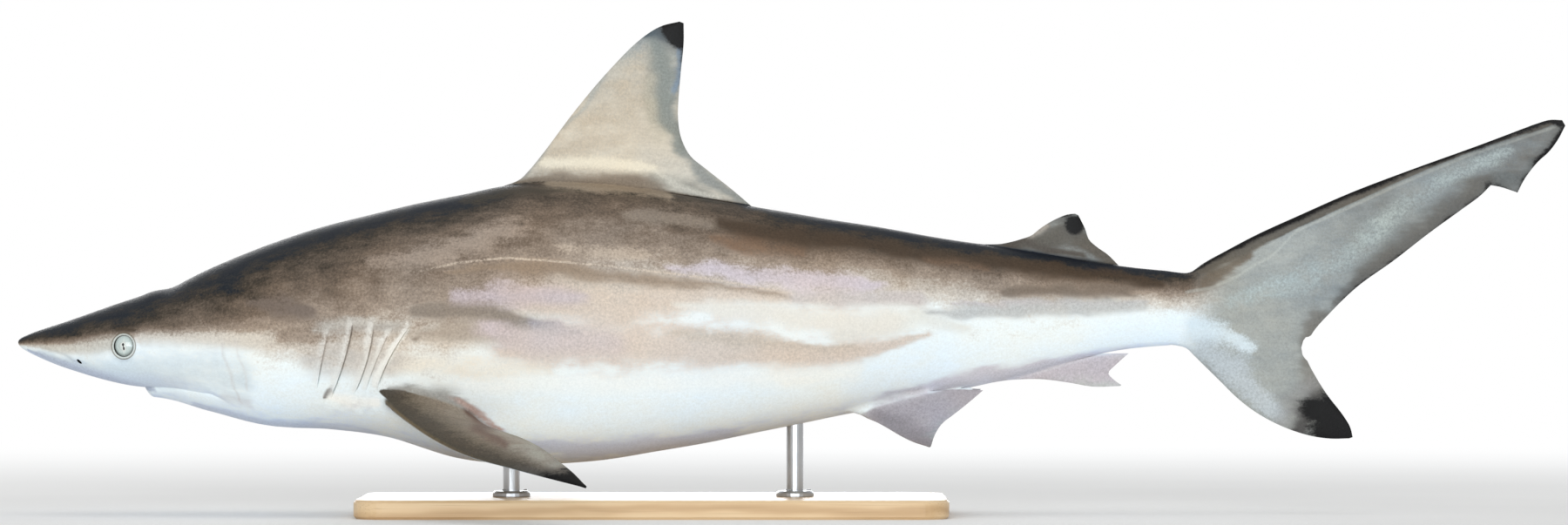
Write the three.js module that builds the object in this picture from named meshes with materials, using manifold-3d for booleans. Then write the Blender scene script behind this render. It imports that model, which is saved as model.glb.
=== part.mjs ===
// A life-size blacktip shark, 1.5 m long, swimming level on a low display stand.
// Millimetres, +Z up. The snout points along -X and the shark's left side faces -Y.
// The origin is on the floor, under the middle of the model.
// The shark is drawn in body coordinates: x back from the snout tip, y to its right, z up from the snout tip.

import * as THREE from "three";
import { mergeVertices } from "three/addons/utils/BufferGeometryUtils.js";
import Module from "manifold-3d";

const wasm = await Module();
wasm.setup();

// ---------------------------------------------------------------- driving dimensions

const MIDDLE = 737.5; // from the snout tip to half way along the model
const SNOUT_HEIGHT = 165; // snout tip above the floor
const GAP = 0.3; // parting between neighbouring pieces
const FIN_EDGE = 0.6; // half thickness of a fin along its edges
const RING_SEGMENTS = 28; // facets round the body
const LEFT = -1;
const RIGHT = 1;

// Cuts that part the body into lengths.
const NECK_CUT = 280;
const SHOULDER_CUT = 382;
const WAIST_CUT = 610;
const HIP_CUT = 780;
const STALK_END = 1110;

// ---------------------------------------------------------------- profile of the body

// Cross sections at the landmarks of the body. Each gives its distance behind the snout tip, the height of
// the back and of the belly, half the width, and the height at which the section is widest. The last two say
// how full it is above and below that height: 2 is an ellipse, and more is squarer.
const SECTIONS = [
  ["snout tip", 0, 0, 0, 0, 0, 2, 2],
  ["snout", 15, 9.3, -12, 19, -2, 2, 2.1],
  ["nostrils", 50, 21, -26, 38, -4, 1.9, 2.3],
  ["eyes", 104, 39.8, -40.6, 57, -4, 1.9, 2.4],
  ["mouth", 150, 54.6, -47, 69, 0, 2, 2.5],
  ["corners of the mouth", 184, 70.6, -59.5, 76, 4, 2, 2.5],
  ["throat", 238, 92.6, -79, 85, 9, 2.1, 2.4],
  ["first gill slit", 300, 112.4, -82.8, 92, 13, 2.1, 2.4],
  ["front of the pectoral fins", 352, 125.4, -90, 97, 16, 2.1, 2.4],
  ["back of the pectoral fins", 422, 140.2, -110.6, 100, 18, 2.05, 2.35],
  ["deepest point", 485, 152, -115.6, 101, 19, 2.05, 2.35],
  ["middle of the trunk", 570, 149, -110.4, 98, 21, 2, 2.3],
  ["end of the first dorsal fin", 690, 131.3, -89, 87, 24, 2, 2.2],
  ["front of the pelvic fins", 780, 116.4, -70.6, 73, 26, 2, 2.1],
  ["back of the pelvic fins", 880, 99.4, -49.4, 55, 29, 2, 2],
  ["front of the second dorsal fin", 945, 89.6, -34.4, 43, 31, 2, 2],
  ["tail stalk", 1045, 73.2, -8.2, 27, 33, 2, 2],
  ["front of the tail fin", STALK_END, 66.4, -1.8, 21, 32.3, 2, 2],
];

// Smooth curves through the sections. Distance is taken as its square root, which rounds off the snout.
const PROFILE = new THREE.CubicInterpolant(
  SECTIONS.map(([, at]) => Math.sqrt(at)),
  SECTIONS.flatMap(([, , ...sizes]) => sizes),
  6,
);

function section(at) {
  const [back, belly, halfWidth, flank, above, below] = PROFILE.evaluate(Math.sqrt(at));
  return { back, belly, halfWidth, flank, above, below };
}

const clamp01 = (x) => Math.min(Math.max(x, 0), 1);
const smooth = (low, high, x) => {
  const t = clamp01((x - low) / (high - low));
  return t * t * (3 - 2 * t);
};

// ---------------------------------------------------------------- the body surface

// A point of the skin, by its angle from the back (0) past the flank (90 degrees) to the belly (180).
function skinPoint(x, angle, side, grow) {
  const { back, belly, halfWidth, flank, above, below } = section(x);
  const upper = Math.cos(angle) >= 0;
  const power = 2 / (upper ? above : below);
  const rise = (upper ? back - flank : flank - belly) + grow;
  const y = (halfWidth + grow) * Math.abs(Math.sin(angle)) ** power;
  const z = flank + Math.sign(Math.cos(angle)) * rise * Math.abs(Math.cos(angle)) ** power;
  return new THREE.Vector3(x, side * y, z);
}

// The height of the underside at a distance out from the middle.
function underside(x, y) {
  const { belly, halfWidth, flank, below } = section(x);
  return flank - (flank - belly) * (1 - (Math.abs(y) / halfWidth) ** below) ** (1 / below);
}

function ring(x, grow) {
  return Array.from({ length: RING_SEGMENTS }, (_, i) => {
    const turn = (2 * Math.PI * i) / RING_SEGMENTS;
    return turn <= Math.PI ? skinPoint(x, turn, LEFT, grow) : skinPoint(x, 2 * Math.PI - turn, RIGHT, grow);
  });
}

// Rings are close together at the snout, and further apart along the trunk.
function ringPlaces() {
  const places = [1, 4, 10, 20, 34, 52, 74, 97, 120, 140, 162, 186, 212, 245];
  for (let x = NECK_CUT; x < 500; x += 34) places.push(x);
  for (let x = 520; x < STALK_END - 20; x += 45) places.push(x);
  return [...places, STALK_END];
}

// ---------------------------------------------------------------- solids

// A closed mesh through rings of points. Each end is closed by a fan round its middle.
function loft(rings) {
  const count = rings[0].length;
  const centre = (points) => points.reduce((sum, p) => sum.add(p), new THREE.Vector3()).divideScalar(count);
  const points = [...rings.flat(), centre(rings[0]), centre(rings.at(-1))];
  const faces = [];
  const first = rings.length * count;
  const lastRing = (rings.length - 1) * count;
  for (let i = 0; i < count; i++) {
    const j = (i + 1) % count;
    for (let r = 0; r < lastRing; r += count) {
      faces.push(r + i, r + j, r + count + j, r + i, r + count + j, r + count + i);
    }
    faces.push(first, j, i, first + 1, lastRing + i, lastRing + j);
  }
  const geometry = new THREE.BufferGeometry().setFromPoints(points);
  geometry.setIndex(faces);
  return geometry;
}

// A manifold-3d solid of a closed geometry, turned the right way out.
function solidOf(geometry) {
  const bare = geometry.clone();
  bare.deleteAttribute("normal");
  bare.deleteAttribute("uv");
  const merged = mergeVertices(bare, 1e-4);
  const vertProperties = new Float32Array(merged.attributes.position.array);
  const triVerts = new Uint32Array(merged.index.array);
  const made = new wasm.Manifold(new wasm.Mesh({ numProp: 3, vertProperties, triVerts }));
  if (made.volume() > 0) return made;
  for (let i = 0; i < triVerts.length; i += 3) {
    [triVerts[i + 1], triVerts[i + 2]] = [triVerts[i + 2], triVerts[i + 1]];
  }
  return new wasm.Manifold(new wasm.Mesh({ numProp: 3, vertProperties, triVerts }));
}

// The largest separate piece of a solid, which drops any sliver that a cut leaves.
function mainPiece(solid) {
  return solid.decompose().reduce((best, piece) => (piece.volume() > best.volume() ? piece : best));
}

function meshOf(name, solid, material) {
  const mesh = mainPiece(solid).getMesh();
  const positions = new Float32Array(mesh.numVert * 3);
  for (let i = 0; i < mesh.numVert; i++) {
    positions.set(mesh.vertProperties.subarray(i * mesh.numProp, i * mesh.numProp + 3), i * 3);
  }
  const geometry = new THREE.BufferGeometry();
  geometry.setAttribute("position", new THREE.BufferAttribute(positions, 3));
  geometry.setIndex(new THREE.BufferAttribute(new Uint32Array(mesh.triVerts), 1));
  const part = new THREE.Mesh(geometry, material);
  part.name = name;
  return part;
}

const bodySolid = (grow) => solidOf(loft(ringPlaces().map((x) => ring(x, grow))));
const body = bodySolid(0);
const bodyGrown = bodySolid(GAP);

// The stretch of a solid between two stations.
function between(solid, from, to) {
  const reach = 400; // further than any fin
  const size = [to - from, 2 * reach, 2 * reach];
  const slab = new THREE.BoxGeometry(...size).translate((from + to) / 2, 0, 0);
  return solid.intersect(solidOf(slab));
}

// ---------------------------------------------------------------- materials

function paint(color, roughness = 0.5, metalness = 0) {
  return new THREE.MeshStandardMaterial({ color, roughness, metalness });
}

const BACK_SKIN = paint(0x6f655d);
const FLANK_SKIN = paint(0xcfccc6);
const BELLY_SKIN = paint(0xe4e9ea);
const FIN_SKIN = paint(0x8d8780);
const EYE = paint(0xc3cdca, 0.15);
const WOOD = paint(0xd9c7a6, 0.55);
const STEEL = paint(0xb8bbbd, 0.35, 1);

// ---------------------------------------------------------------- fins

const inMidplane = ([x, z]) => new THREE.Vector3(x, 0, z);

// A margin drawn as one or more smooth stretches that meet at corners, each given its share of the rows.
function margin(stretches) {
  const curves = stretches.map(({ points }) => new THREE.CatmullRomCurve3(points, false, "centripetal"));
  return (t) => {
    let i = 0;
    while (i < stretches.length - 1 && t > stretches[i].until) i++;
    const from = i ? stretches[i - 1].until : 0;
    const share = clamp01((t - from) / (stretches[i].until - from));
    return share === 0 ? curves[i].points[0].clone() : curves[i].getPointAt(share);
  };
}

// Half thickness across a fin: round at the front, thin at the rear, deepest a third of the way back.
const AEROFOIL_PEAK = Math.sqrt(1 / 3) * (2 / 3);
const aerofoil = (u) => (Math.sqrt(u) * (1 - u)) / AEROFOIL_PEAK;

// A fin between two margins. Rows run across it from the leading margin to the trailing one.
function finSolid({ leading, trailing, rows, across = 8, normal, half, camber = () => 0 }) {
  const rings = rows.map((t) => {
    const front = leading(t);
    const rear = trailing(t);
    const points = [];
    for (let i = 0; i <= across; i++) {
      const u = (i / across) ** 1.4;
      const middle = front.clone().lerp(rear, u).addScaledVector(normal, camber(u, t));
      points.push(middle.addScaledVector(normal, FIN_EDGE + half(u, t)));
    }
    for (let i = across; i >= 0; i--) {
      const u = (i / across) ** 1.4;
      const middle = front.clone().lerp(rear, u).addScaledVector(normal, camber(u, t));
      points.push(middle.addScaledVector(normal, -FIN_EDGE - half(u, t)));
    }
    return points;
  });
  return solidOf(loft(rings));
}

const SIDEWAYS = new THREE.Vector3(0, 1, 0);

// Thickness from root to tip, with a flare that runs out into the body at the root.
const tapered = (root, tip, flare) => (u, t) =>
  (root + (tip - root) * t + flare * Math.exp(-t / 0.07)) * aerofoil(u);

function firstDorsalFin() {
  const leading = margin([
    {
      until: 1,
      points: [[452, 138], [470, 151], [484, 161], [500, 180], [530, 220], [562, 258], [592, 288], [612, 301],
        [630, 305.6]].map(inMidplane),
    },
  ]);
  const trailing = margin([
    { until: 0.08, points: [[632, 124], [629, 138]].map(inMidplane) },
    { until: 0.24, points: [[629, 138], [662, 133], [694, 129.6]].map(inMidplane) },
    {
      until: 1,
      points: [[694, 129.6], [678, 145], [655, 163.5], [640, 178], [631.5, 195], [628.6, 215], [631, 255],
        [634, 285], [634, 304]].map(inMidplane),
    },
  ]);
  const rows = [0, 0.04, 0.08, 0.12, 0.16, 0.2, 0.24, 0.31, 0.4, 0.5, 0.62, 0.75, 0.88, 0.95, 1];
  return finSolid({ leading, trailing, rows, across: 7, normal: SIDEWAYS, half: tapered(8.5, 1, 10) });
}

function secondDorsalFin() {
  const leading = margin([
    {
      until: 1,
      points: [[905, 84], [930, 93], [950, 97], [965, 101.5], [974, 108.6], [986, 116], [1000, 121.8],
        [1007, 122.4]].map(inMidplane),
    },
  ]);
  const trailing = margin([
    { until: 0.15, points: [[1000, 66], [999, 77]].map(inMidplane) },
    { until: 0.38, points: [[999, 77], [1024, 74.6], [1048.5, 72.4]].map(inMidplane) },
    {
      until: 1,
      points: [[1048.5, 72.4], [1038, 83.5], [1028, 90.5], [1020, 98], [1016.5, 108], [1010, 121]].map(inMidplane),
    },
  ]);
  const rows = [0, 0.08, 0.15, 0.23, 0.3, 0.38, 0.48, 0.6, 0.74, 0.88, 1];
  return finSolid({ leading, trailing, rows, across: 6, normal: SIDEWAYS, half: tapered(4, 0.6, 5) });
}

function analFin() {
  const leading = margin([
    {
      until: 1,
      points: [[912, -26], [930, -36.4], [950, -36], [975, -35.4], [1000, -38.4], [1024, -42.4],
        [1050, -41.8]].map(inMidplane),
    },
  ]);
  const trailing = margin([
    { until: 0.15, points: [[1006, -4], [1005, -13]].map(inMidplane) },
    { until: 0.4, points: [[1005, -13], [1032, -10], [1058, -10.6]].map(inMidplane) },
    {
      until: 1,
      points: [[1058, -10.6], [1046, -21.4], [1038.6, -29.6], [1043.5, -35.6], [1051, -41]].map(inMidplane),
    },
  ]);
  const rows = [0, 0.08, 0.15, 0.23, 0.31, 0.4, 0.5, 0.62, 0.76, 0.88, 1];
  return finSolid({ leading, trailing, rows, across: 6, normal: SIDEWAYS, half: tapered(3, 0.4, 3) });
}

// Paired fins are drawn on one side and mirrored. The right pectoral fin is carried a little higher.
const onSide = (side) => ([x, y, z]) => new THREE.Vector3(x, side * y, z);
const PECTORAL_SPAN = 275;
const RIGHT_PECTORAL_RAISED = 14;

function pectoralFin(side) {
  const raised = side === RIGHT ? RIGHT_PECTORAL_RAISED / (PECTORAL_SPAN - 80) : 0;
  const place = ([x, y, z]) => new THREE.Vector3(x, side * y, z + raised * Math.max(y - 80, 0));
  const leading = margin([
    { until: 0.1, points: [[338, 50, -42], [352, 82, -54]].map(place) },
    {
      until: 1,
      points: [[352, 82, -54], [380, 128, -73.6], [408, 168, -89.6], [440, 203, -102.6], [480, 234, -112.6],
        [520, 259, -122], [549, PECTORAL_SPAN, -128.4]].map(place),
    },
  ]);
  const trailing = margin([
    { until: 0.1, points: [[424, 50, -54], [434, 84, -64]].map(place) },
    { until: 0.26, points: [[434, 84, -64], [450, 90, -75], [463, 97, -82]].map(place) },
    {
      until: 1,
      points: [[463, 97, -82], [486, 150, -87.5], [508, 202, -96.5], [524, 233, -107], [538, 257, -117],
        [550, PECTORAL_SPAN - 1, -128.4]].map(place),
    },
  ]);
  const normal = new THREE.Vector3(0.2, side * 0.28, 0.94).normalize();
  const half = (u, t) => (11.5 - 10.7 * Math.sqrt(t)) * aerofoil(u);
  const camber = (u, t) => 4 * (1 - t) * Math.sin(Math.PI * u);
  const rows = [0, 0.05, 0.1, 0.15, 0.2, 0.26, 0.34, 0.43, 0.53, 0.63, 0.74, 0.85, 0.94, 1];
  return finSolid({ leading, trailing, rows, across: 7, normal, half, camber });
}

function pelvicFin(side) {
  const place = onSide(side);
  const leading = margin([
    { until: 0.12, points: [[788, 10, -48], [798, 20, -68]].map(place) },
    {
      until: 1,
      points: [[798, 20, -68], [812, 28, -73], [824, 38, -79], [840, 51, -88], [852, 62, -93.4],
        [866, 76, -97.4]].map(place),
    },
  ]);
  const trailing = margin([
    { until: 0.12, points: [[866, 10, -26], [867, 24, -45.6]].map(place) },
    { until: 0.35, points: [[867, 24, -45.6], [892, 27, -44.6], [918, 30.5, -45.4]].map(place) },
    {
      until: 1,
      points: [[918, 30.5, -45.4], [904, 38, -57], [891, 46, -67], [879, 54, -76], [872, 64, -86],
        [868, 75, -96.6]].map(place),
    },
  ]);
  const normal = new THREE.Vector3(0.1, side * 0.62, 0.78).normalize();
  const half = (u, t) => (6 - 5.2 * t) * aerofoil(u);
  const rows = [0, 0.06, 0.12, 0.2, 0.28, 0.35, 0.45, 0.58, 0.72, 0.86, 1];
  return finSolid({ leading, trailing, rows, across: 6, normal, half });
}

// The small soft clasper of an immature male, a blunt rod under the root of the pelvic fin.
function clasper(side) {
  const path = [[856, 13, -47], [876, 14, -48], [894, 13.6, -46.4], [908, 13, -44.6]].map(onSide(side));
  const extrudePath = new THREE.CatmullRomCurve3(path);
  const outline = new THREE.Shape().absellipse(0, 0, 2.7, 3.2, 0, 2 * Math.PI);
  return solidOf(new THREE.ExtrudeGeometry(outline, { steps: 6, curveSegments: 5, extrudePath }));
}

// ---------------------------------------------------------------- tail fin

const FORK_SHARE = 0.26; // share of the rows that lie before the fork
const STALK = section(STALK_END);
const TAIL_START = STALK_END + GAP;

// The seam of the two lobes, from the middle of the tail stalk to the fork.
const FORK = [1225.5, -6];
const SEAM = [[TAIL_START, STALK.flank], [1150, 22], [1190, 8], FORK];
const seam = (offset) => SEAM.map(([x, z]) => inMidplane([x, z + offset]));

// Half thickness on the seam: as thick as the stalk at first, an edge at the fork.
const seamHalf = (t) => (STALK.halfWidth - FIN_EDGE) * Math.max(0, 1 - t / FORK_SHARE) ** 1.6;
const lobeHalf = (bulge) => (u, t) => seamHalf(t) * Math.sqrt(u * (2 - u)) + bulge(t) * aerofoil(u);

function tailUpperLobe() {
  const leading = margin([
    { until: 0.03, points: [[TAIL_START, 66.3], [1118, 67]].map(inMidplane) },
    {
      until: 0.93,
      points: [[1118, 67], [1130, 75.6], [1150, 86.6], [1180, 102.4], [1220, 120.6], [1270, 142.6], [1330, 165.4],
        [1390, 187], [1443, 207]].map(inMidplane),
    },
    { until: 1, points: [[1443, 207], [1459, 211.8], [1471, 211.6]].map(inMidplane) },
  ]);
  const trailing = margin([
    { until: FORK_SHARE, points: seam(GAP / 2) },
    {
      until: 0.78,
      points: [[FORK[0], FORK[1] + GAP / 2], [1234, 10], [1248, 26], [1276, 53], [1310, 77.4], [1344, 103.8],
        [1376, 127], [1393, 139.6], [1403, 149.6]].map(inMidplane),
    },
    { until: 0.83, points: [[1403, 149.6], [1412, 148], [1428.5, 142.6]].map(inMidplane) },
    {
      until: 1,
      points: [[1428.5, 142.6], [1435.5, 156], [1448, 172], [1458, 181], [1467, 193], [1474, 206.4]].map(inMidplane),
    },
  ]);
  const bulge = (t) => 7.5 * smooth(0, 0.3, t) * (1 - t) ** 1.1;
  const rows = [0, 0.03, 0.08, 0.14, 0.2, 0.26, 0.33, 0.42, 0.51, 0.6, 0.69, 0.78, 0.805, 0.83, 0.88, 0.93, 0.965, 1];
  return finSolid({ leading, trailing, rows, across: 7, normal: SIDEWAYS, half: lobeHalf(bulge) });
}

function tailLowerLobe() {
  const leading = margin([
    {
      until: 1,
      points: [[TAIL_START, -3], [1116, -8.6], [1128, -20.4], [1145, -37], [1161, -52.8], [1180, -67.4],
        [1205, -80.6], [1230, -89], [1250, -92], [1268, -91.8]].map(inMidplane),
    },
  ]);
  const trailing = margin([
    { until: 0.5, points: seam(-GAP / 2) },
    {
      until: 1,
      points: [[FORK[0], FORK[1] - GAP / 2], [1228, -17], [1236, -32.6], [1247, -50], [1262, -69.4], [1269, -81],
        [1271.4, -90.6]].map(inMidplane),
    },
  ]);
  const lowerSeamHalf = (t) => seamHalf(Math.min(t / 0.5, 1) * FORK_SHARE);
  const bulge = (t) => 5 * smooth(0, 0.4, t) * (1 - t);
  const half = (u, t) => lowerSeamHalf(t) * Math.sqrt(u * (2 - u)) + bulge(t) * aerofoil(u);
  const rows = [0, 0.07, 0.16, 0.26, 0.38, 0.5, 0.6, 0.7, 0.8, 0.9, 0.96, 1];
  return finSolid({ leading, trailing, rows, across: 7, normal: SIDEWAYS, half });
}

// ---------------------------------------------------------------- head

const EYE_PLACE = { x: 106.5, z: -3 };
const EYE_RADIUS = 15;
const EYE_STANDS_PROUD = 3; // so that a disc 18 mm across shows between the lids

function eyeball(side, grow = 0) {
  const y = section(EYE_PLACE.x).halfWidth + EYE_STANDS_PROUD - EYE_RADIUS;
  const ball = new THREE.SphereGeometry(EYE_RADIUS + grow, 12, 9).rotateX(Math.PI / 2);
  return solidOf(ball.translate(EYE_PLACE.x, side * y, EYE_PLACE.z));
}

// Nostrils are short slots, slanting back and down on the edge of the snout.
function nostril(side) {
  const slot = new THREE.SphereGeometry(1, 10, 6).scale(4, 6, 1.5).rotateY(Math.PI / 4);
  return solidOf(slot.translate(62.5, side * 39, -18));
}

// A flat outline in the side view, given by x and z, drawn out across the whole body.
function acrossBody(outline, curveSegments = 4) {
  const depth = 300;
  const slab = new THREE.ExtrudeGeometry(outline, { depth, bevelEnabled: false, curveSegments });
  return solidOf(slab.rotateX(Math.PI / 2).translate(0, depth / 2, 0));
}

const MOUTH_FRONT = 121;
const MOUTH_CORNER = 185;
const MOUTH_HALF_WIDTH = 53;
const JAW_DROP = 8.8; // how far the lower lip hangs under the snout
const JAW_FULL = 150; // from here back the jaw runs out into the throat
const THROAT = 250;

// The swelling of the lower jaw under the head, behind the arch of its lip.
function jawSwelling() {
  const across = 12;
  const sunk = 1.4; // its rim is sunk this far into the head, so that no ridge is left where it runs out
  const places = [122, 124, 128, 135, 146, 162, MOUTH_CORNER, 210, THROAT];
  const rings = places.map((x) => {
    const arch = Math.min((x - MOUTH_FRONT) / (MOUTH_CORNER - MOUTH_FRONT), 1);
    const drop = JAW_DROP * Math.sqrt(smooth(0, 9, x - MOUTH_FRONT)) * (1 - smooth(JAW_FULL, THROAT, x));
    const halfWidth = MOUTH_HALF_WIDTH * arch ** 0.42;
    const lower = [];
    const upper = [];
    for (let i = 0; i <= across; i++) {
      const turn = (Math.PI * i) / across;
      const y = -halfWidth * Math.cos(turn);
      lower.push(new THREE.Vector3(x, y, underside(x, y) + sunk - (drop + sunk) * Math.sin(turn) ** 0.7));
      upper.unshift(new THREE.Vector3(x, y, underside(x, y) + 5));
    }
    return [...lower, ...upper];
  });
  return solidOf(loft(rings));
}

// The space of the lower jaw: under the line of the mouth, which then runs down into the throat.
const MOUTH_LINE = [[119, -42.6], [145, -40.8], [162, -41.8], [MOUTH_CORNER, -48.6], [215, -66], [245, -95]];

function jawSpace(drop) {
  const line = MOUTH_LINE.map(([x, z]) => new THREE.Vector2(x, z - drop));
  const outline = new THREE.Shape();
  outline.moveTo(95, -43.4 - drop);
  outline.splineThru(line);
  outline.lineTo(95, line.at(-1).y);
  return acrossBody(outline);
}

// ---------------------------------------------------------------- gills

const GILL_DEPTH = 5;
const GILL_WIDTH = 1.3;
// Top and bottom of each slit on the side of the head, and how far it bows backwards.
const GILL_SLITS = [
  { top: [301, 8], bottom: [291, -41], bow: -0.5 },
  { top: [325, 17], bottom: [304, -50], bow: 2.5 },
  { top: [345, 16], bottom: [326, -45], bow: 1.5 },
  { top: [356, 9], bottom: [337, -45], bow: -1.5 },
  { top: [372, 10], bottom: [346, -42], bow: -2 },
];

function gillBlade({ top, bottom, bow }) {
  const middle = [(top[0] + bottom[0]) / 2 + 2 * bow, (top[1] + bottom[1]) / 2];
  const outline = new THREE.Shape();
  outline.moveTo(...top);
  outline.quadraticCurveTo(...middle, ...bottom);
  outline.lineTo(bottom[0] + GILL_WIDTH, bottom[1]);
  outline.quadraticCurveTo(middle[0] + GILL_WIDTH, middle[1], top[0] + GILL_WIDTH, top[1]);
  return acrossBody(outline);
}

function gillRegion() {
  const core = bodySolid(-GILL_DEPTH);
  const region = between(body, NECK_CUT + GAP, SHOULDER_CUT);
  return GILL_SLITS.reduce((cut, slit) => cut.subtract(gillBlade(slit).subtract(core)), region);
}

// ---------------------------------------------------------------- stand

const FLOOR = -SNOUT_HEIGHT;
const ROD_PLACES = { front: 470, rear: 740 };
const ROD_RADIUS = 8;
const ROD_FOOT = { radius: 18, height: 5 };
const BASE = { length: 560, width: 220, thickness: 18, corner: 26, bevel: 2.5 };
const BASE_TOP = FLOOR + BASE.thickness;

function standBase() {
  const { length, width, thickness, corner, bevel } = BASE;
  const x = length / 2 - bevel - corner;
  const y = width / 2 - bevel - corner;
  const plate = new THREE.Shape();
  plate.moveTo(-x, -y - corner);
  plate.absarc(x, -y, corner, -Math.PI / 2, 0, false);
  plate.absarc(x, y, corner, 0, Math.PI / 2, false);
  plate.absarc(-x, y, corner, Math.PI / 2, Math.PI, false);
  plate.absarc(-x, -y, corner, Math.PI, Math.PI * 1.5, false);
  const slab = new THREE.ExtrudeGeometry(plate, {
    depth: thickness - 2 * bevel,
    bevelThickness: bevel,
    bevelSize: bevel,
    bevelSegments: 1,
    curveSegments: 4,
  });
  const middle = (ROD_PLACES.front + ROD_PLACES.rear) / 2;
  return solidOf(slab.translate(middle, 0, FLOOR + bevel));
}

// A rod stands on a small round foot, and its top follows the belly.
function standRod(at) {
  const { radius, height } = ROD_FOOT;
  const top = section(at).belly + ROD_RADIUS - BASE_TOP;
  const outline = [[0, 0], [radius, 0], [radius, height - 2], [radius - 2, height], [ROD_RADIUS, height],
    [ROD_RADIUS, top], [0, top]];
  const rod = new THREE.LatheGeometry(outline.map(([r, z]) => new THREE.Vector2(r, z)), 28).rotateX(Math.PI / 2);
  return solidOf(rod.translate(at, 0, BASE_TOP + GAP)).subtract(bodyGrown);
}

// ---------------------------------------------------------------- assembly

const shark = new THREE.Group();
shark.position.set(-MIDDLE, 0, SNOUT_HEIGHT);
const add = (name, solid, material) => shark.add(meshOf(name, solid, material));

const headWhole = between(body, -10, NECK_CUT).add(jawSwelling());
const headWithMouth = headWhole.subtract(jawSpace(0));
const withSockets = [LEFT, RIGHT].reduce(
  (head, side) => head.subtract(eyeball(side, GAP)).subtract(nostril(side)),
  headWithMouth,
);
add("head", withSockets, BACK_SKIN);
add("lower_jaw", headWhole.intersect(jawSpace(GAP)), BELLY_SKIN);
add("gill_region", gillRegion(), FLANK_SKIN);
add("trunk_front", between(body, SHOULDER_CUT + GAP, WAIST_CUT), FLANK_SKIN);
add("trunk_rear", between(body, WAIST_CUT + GAP, HIP_CUT), FLANK_SKIN);
add("tail_stalk", between(body, HIP_CUT + GAP, STALK_END), FLANK_SKIN);
add("dorsal_fin_first", firstDorsalFin().subtract(bodyGrown), FIN_SKIN);
add("dorsal_fin_second", secondDorsalFin().subtract(bodyGrown), FIN_SKIN);
add("anal_fin", analFin().subtract(bodyGrown), BELLY_SKIN);
add("tail_fin_upper_lobe", tailUpperLobe(), FIN_SKIN);
add("tail_fin_lower_lobe", tailLowerLobe(), FIN_SKIN);

for (const [word, side] of [["left", LEFT], ["right", RIGHT]]) {
  const pelvic = pelvicFin(side).subtract(bodyGrown);
  add(`eye_${word}`, eyeball(side), EYE);
  add(`pectoral_fin_${word}`, pectoralFin(side).subtract(bodyGrown), FIN_SKIN);
  add(`pelvic_fin_${word}`, pelvic, BELLY_SKIN);
  add(`clasper_${word}`, clasper(side).subtract(bodyGrown), BELLY_SKIN);
}

add("stand_base", standBase(), WOOD);
for (const [word, at] of Object.entries(ROD_PLACES)) add(`stand_rod_${word}`, standRod(at), STEEL);

export default shark;
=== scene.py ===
# %% [markdown]
# # A life-size blacktip shark on a low stand
#
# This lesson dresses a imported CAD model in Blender. The CAD solids are the fixed frame: they carry the
# collision shapes and the true sizes. Here one continuous skin takes the place of the solids of flesh,
# glass eyes are set into it, and the stand gets wood and steel.
#
# The shark is drawn in body measures, in millimetres: x back from the tip of the snout, y to the shark's
# right and z up from the tip of the snout. One function at the end of each step puts the points in the
# frame, in metres. Keeping to the animal's own measures makes every number readable as a distance on the
# fish.

# %% Load the frame
import itertools
import math

import bpy
import numpy as np
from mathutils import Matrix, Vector
from mathutils.kdtree import KDTree


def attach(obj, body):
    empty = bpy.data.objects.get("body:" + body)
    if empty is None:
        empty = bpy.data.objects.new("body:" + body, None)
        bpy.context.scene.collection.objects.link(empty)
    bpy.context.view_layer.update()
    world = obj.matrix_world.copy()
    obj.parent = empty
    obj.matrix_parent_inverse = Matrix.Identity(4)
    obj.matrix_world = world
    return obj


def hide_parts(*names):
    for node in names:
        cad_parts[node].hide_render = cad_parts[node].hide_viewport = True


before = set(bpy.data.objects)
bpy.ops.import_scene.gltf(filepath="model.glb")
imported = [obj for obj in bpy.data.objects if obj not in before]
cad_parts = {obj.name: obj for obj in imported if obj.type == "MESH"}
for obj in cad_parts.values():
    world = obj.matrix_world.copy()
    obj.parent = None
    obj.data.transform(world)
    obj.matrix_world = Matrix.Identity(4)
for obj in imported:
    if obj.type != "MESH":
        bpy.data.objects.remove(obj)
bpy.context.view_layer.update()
MM = 0.001
MIDDLE = 737.5  # from the tip of the snout to half way along the model
SNOUT_HEIGHT = 165  # tip of the snout above the floor
LEFT = -1
RIGHT = 1
print("solids in the frame:", len(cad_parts))


def in_frame(points):
    """Body measures in millimetres, as metres in the frame."""
    return (np.asarray(points, float) + (-MIDDLE, 0, SNOUT_HEIGHT)) * MM


def in_body(points):
    """Metres in the frame, as body measures in millimetres."""
    return np.asarray(points, float) / MM - (-MIDDLE, 0, SNOUT_HEIGHT)


# %% [markdown]
# ## The lengthwise profile of the body
#
# A shark's trunk is a smooth spindle, so a few cross sections at landmarks say all of it. A sculptor would
# call them formers. Each one gives the height of the back and the belly, half the width, the height where
# the body is widest, and how full it is above and below. A cubic curve runs through each of those measures.
# Distance is taken as its square root, which gives the snout a rounded tip instead of a point.
#
# It could also be modelled with a subdivided cage, but a profile in numbers can be asked for the exact skin
# height anywhere, and the eyes, gills, fins and markings below all need that.

# %% Body profile
STALK_END = 1110  # where the tail stalk meets the tail fin
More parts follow.
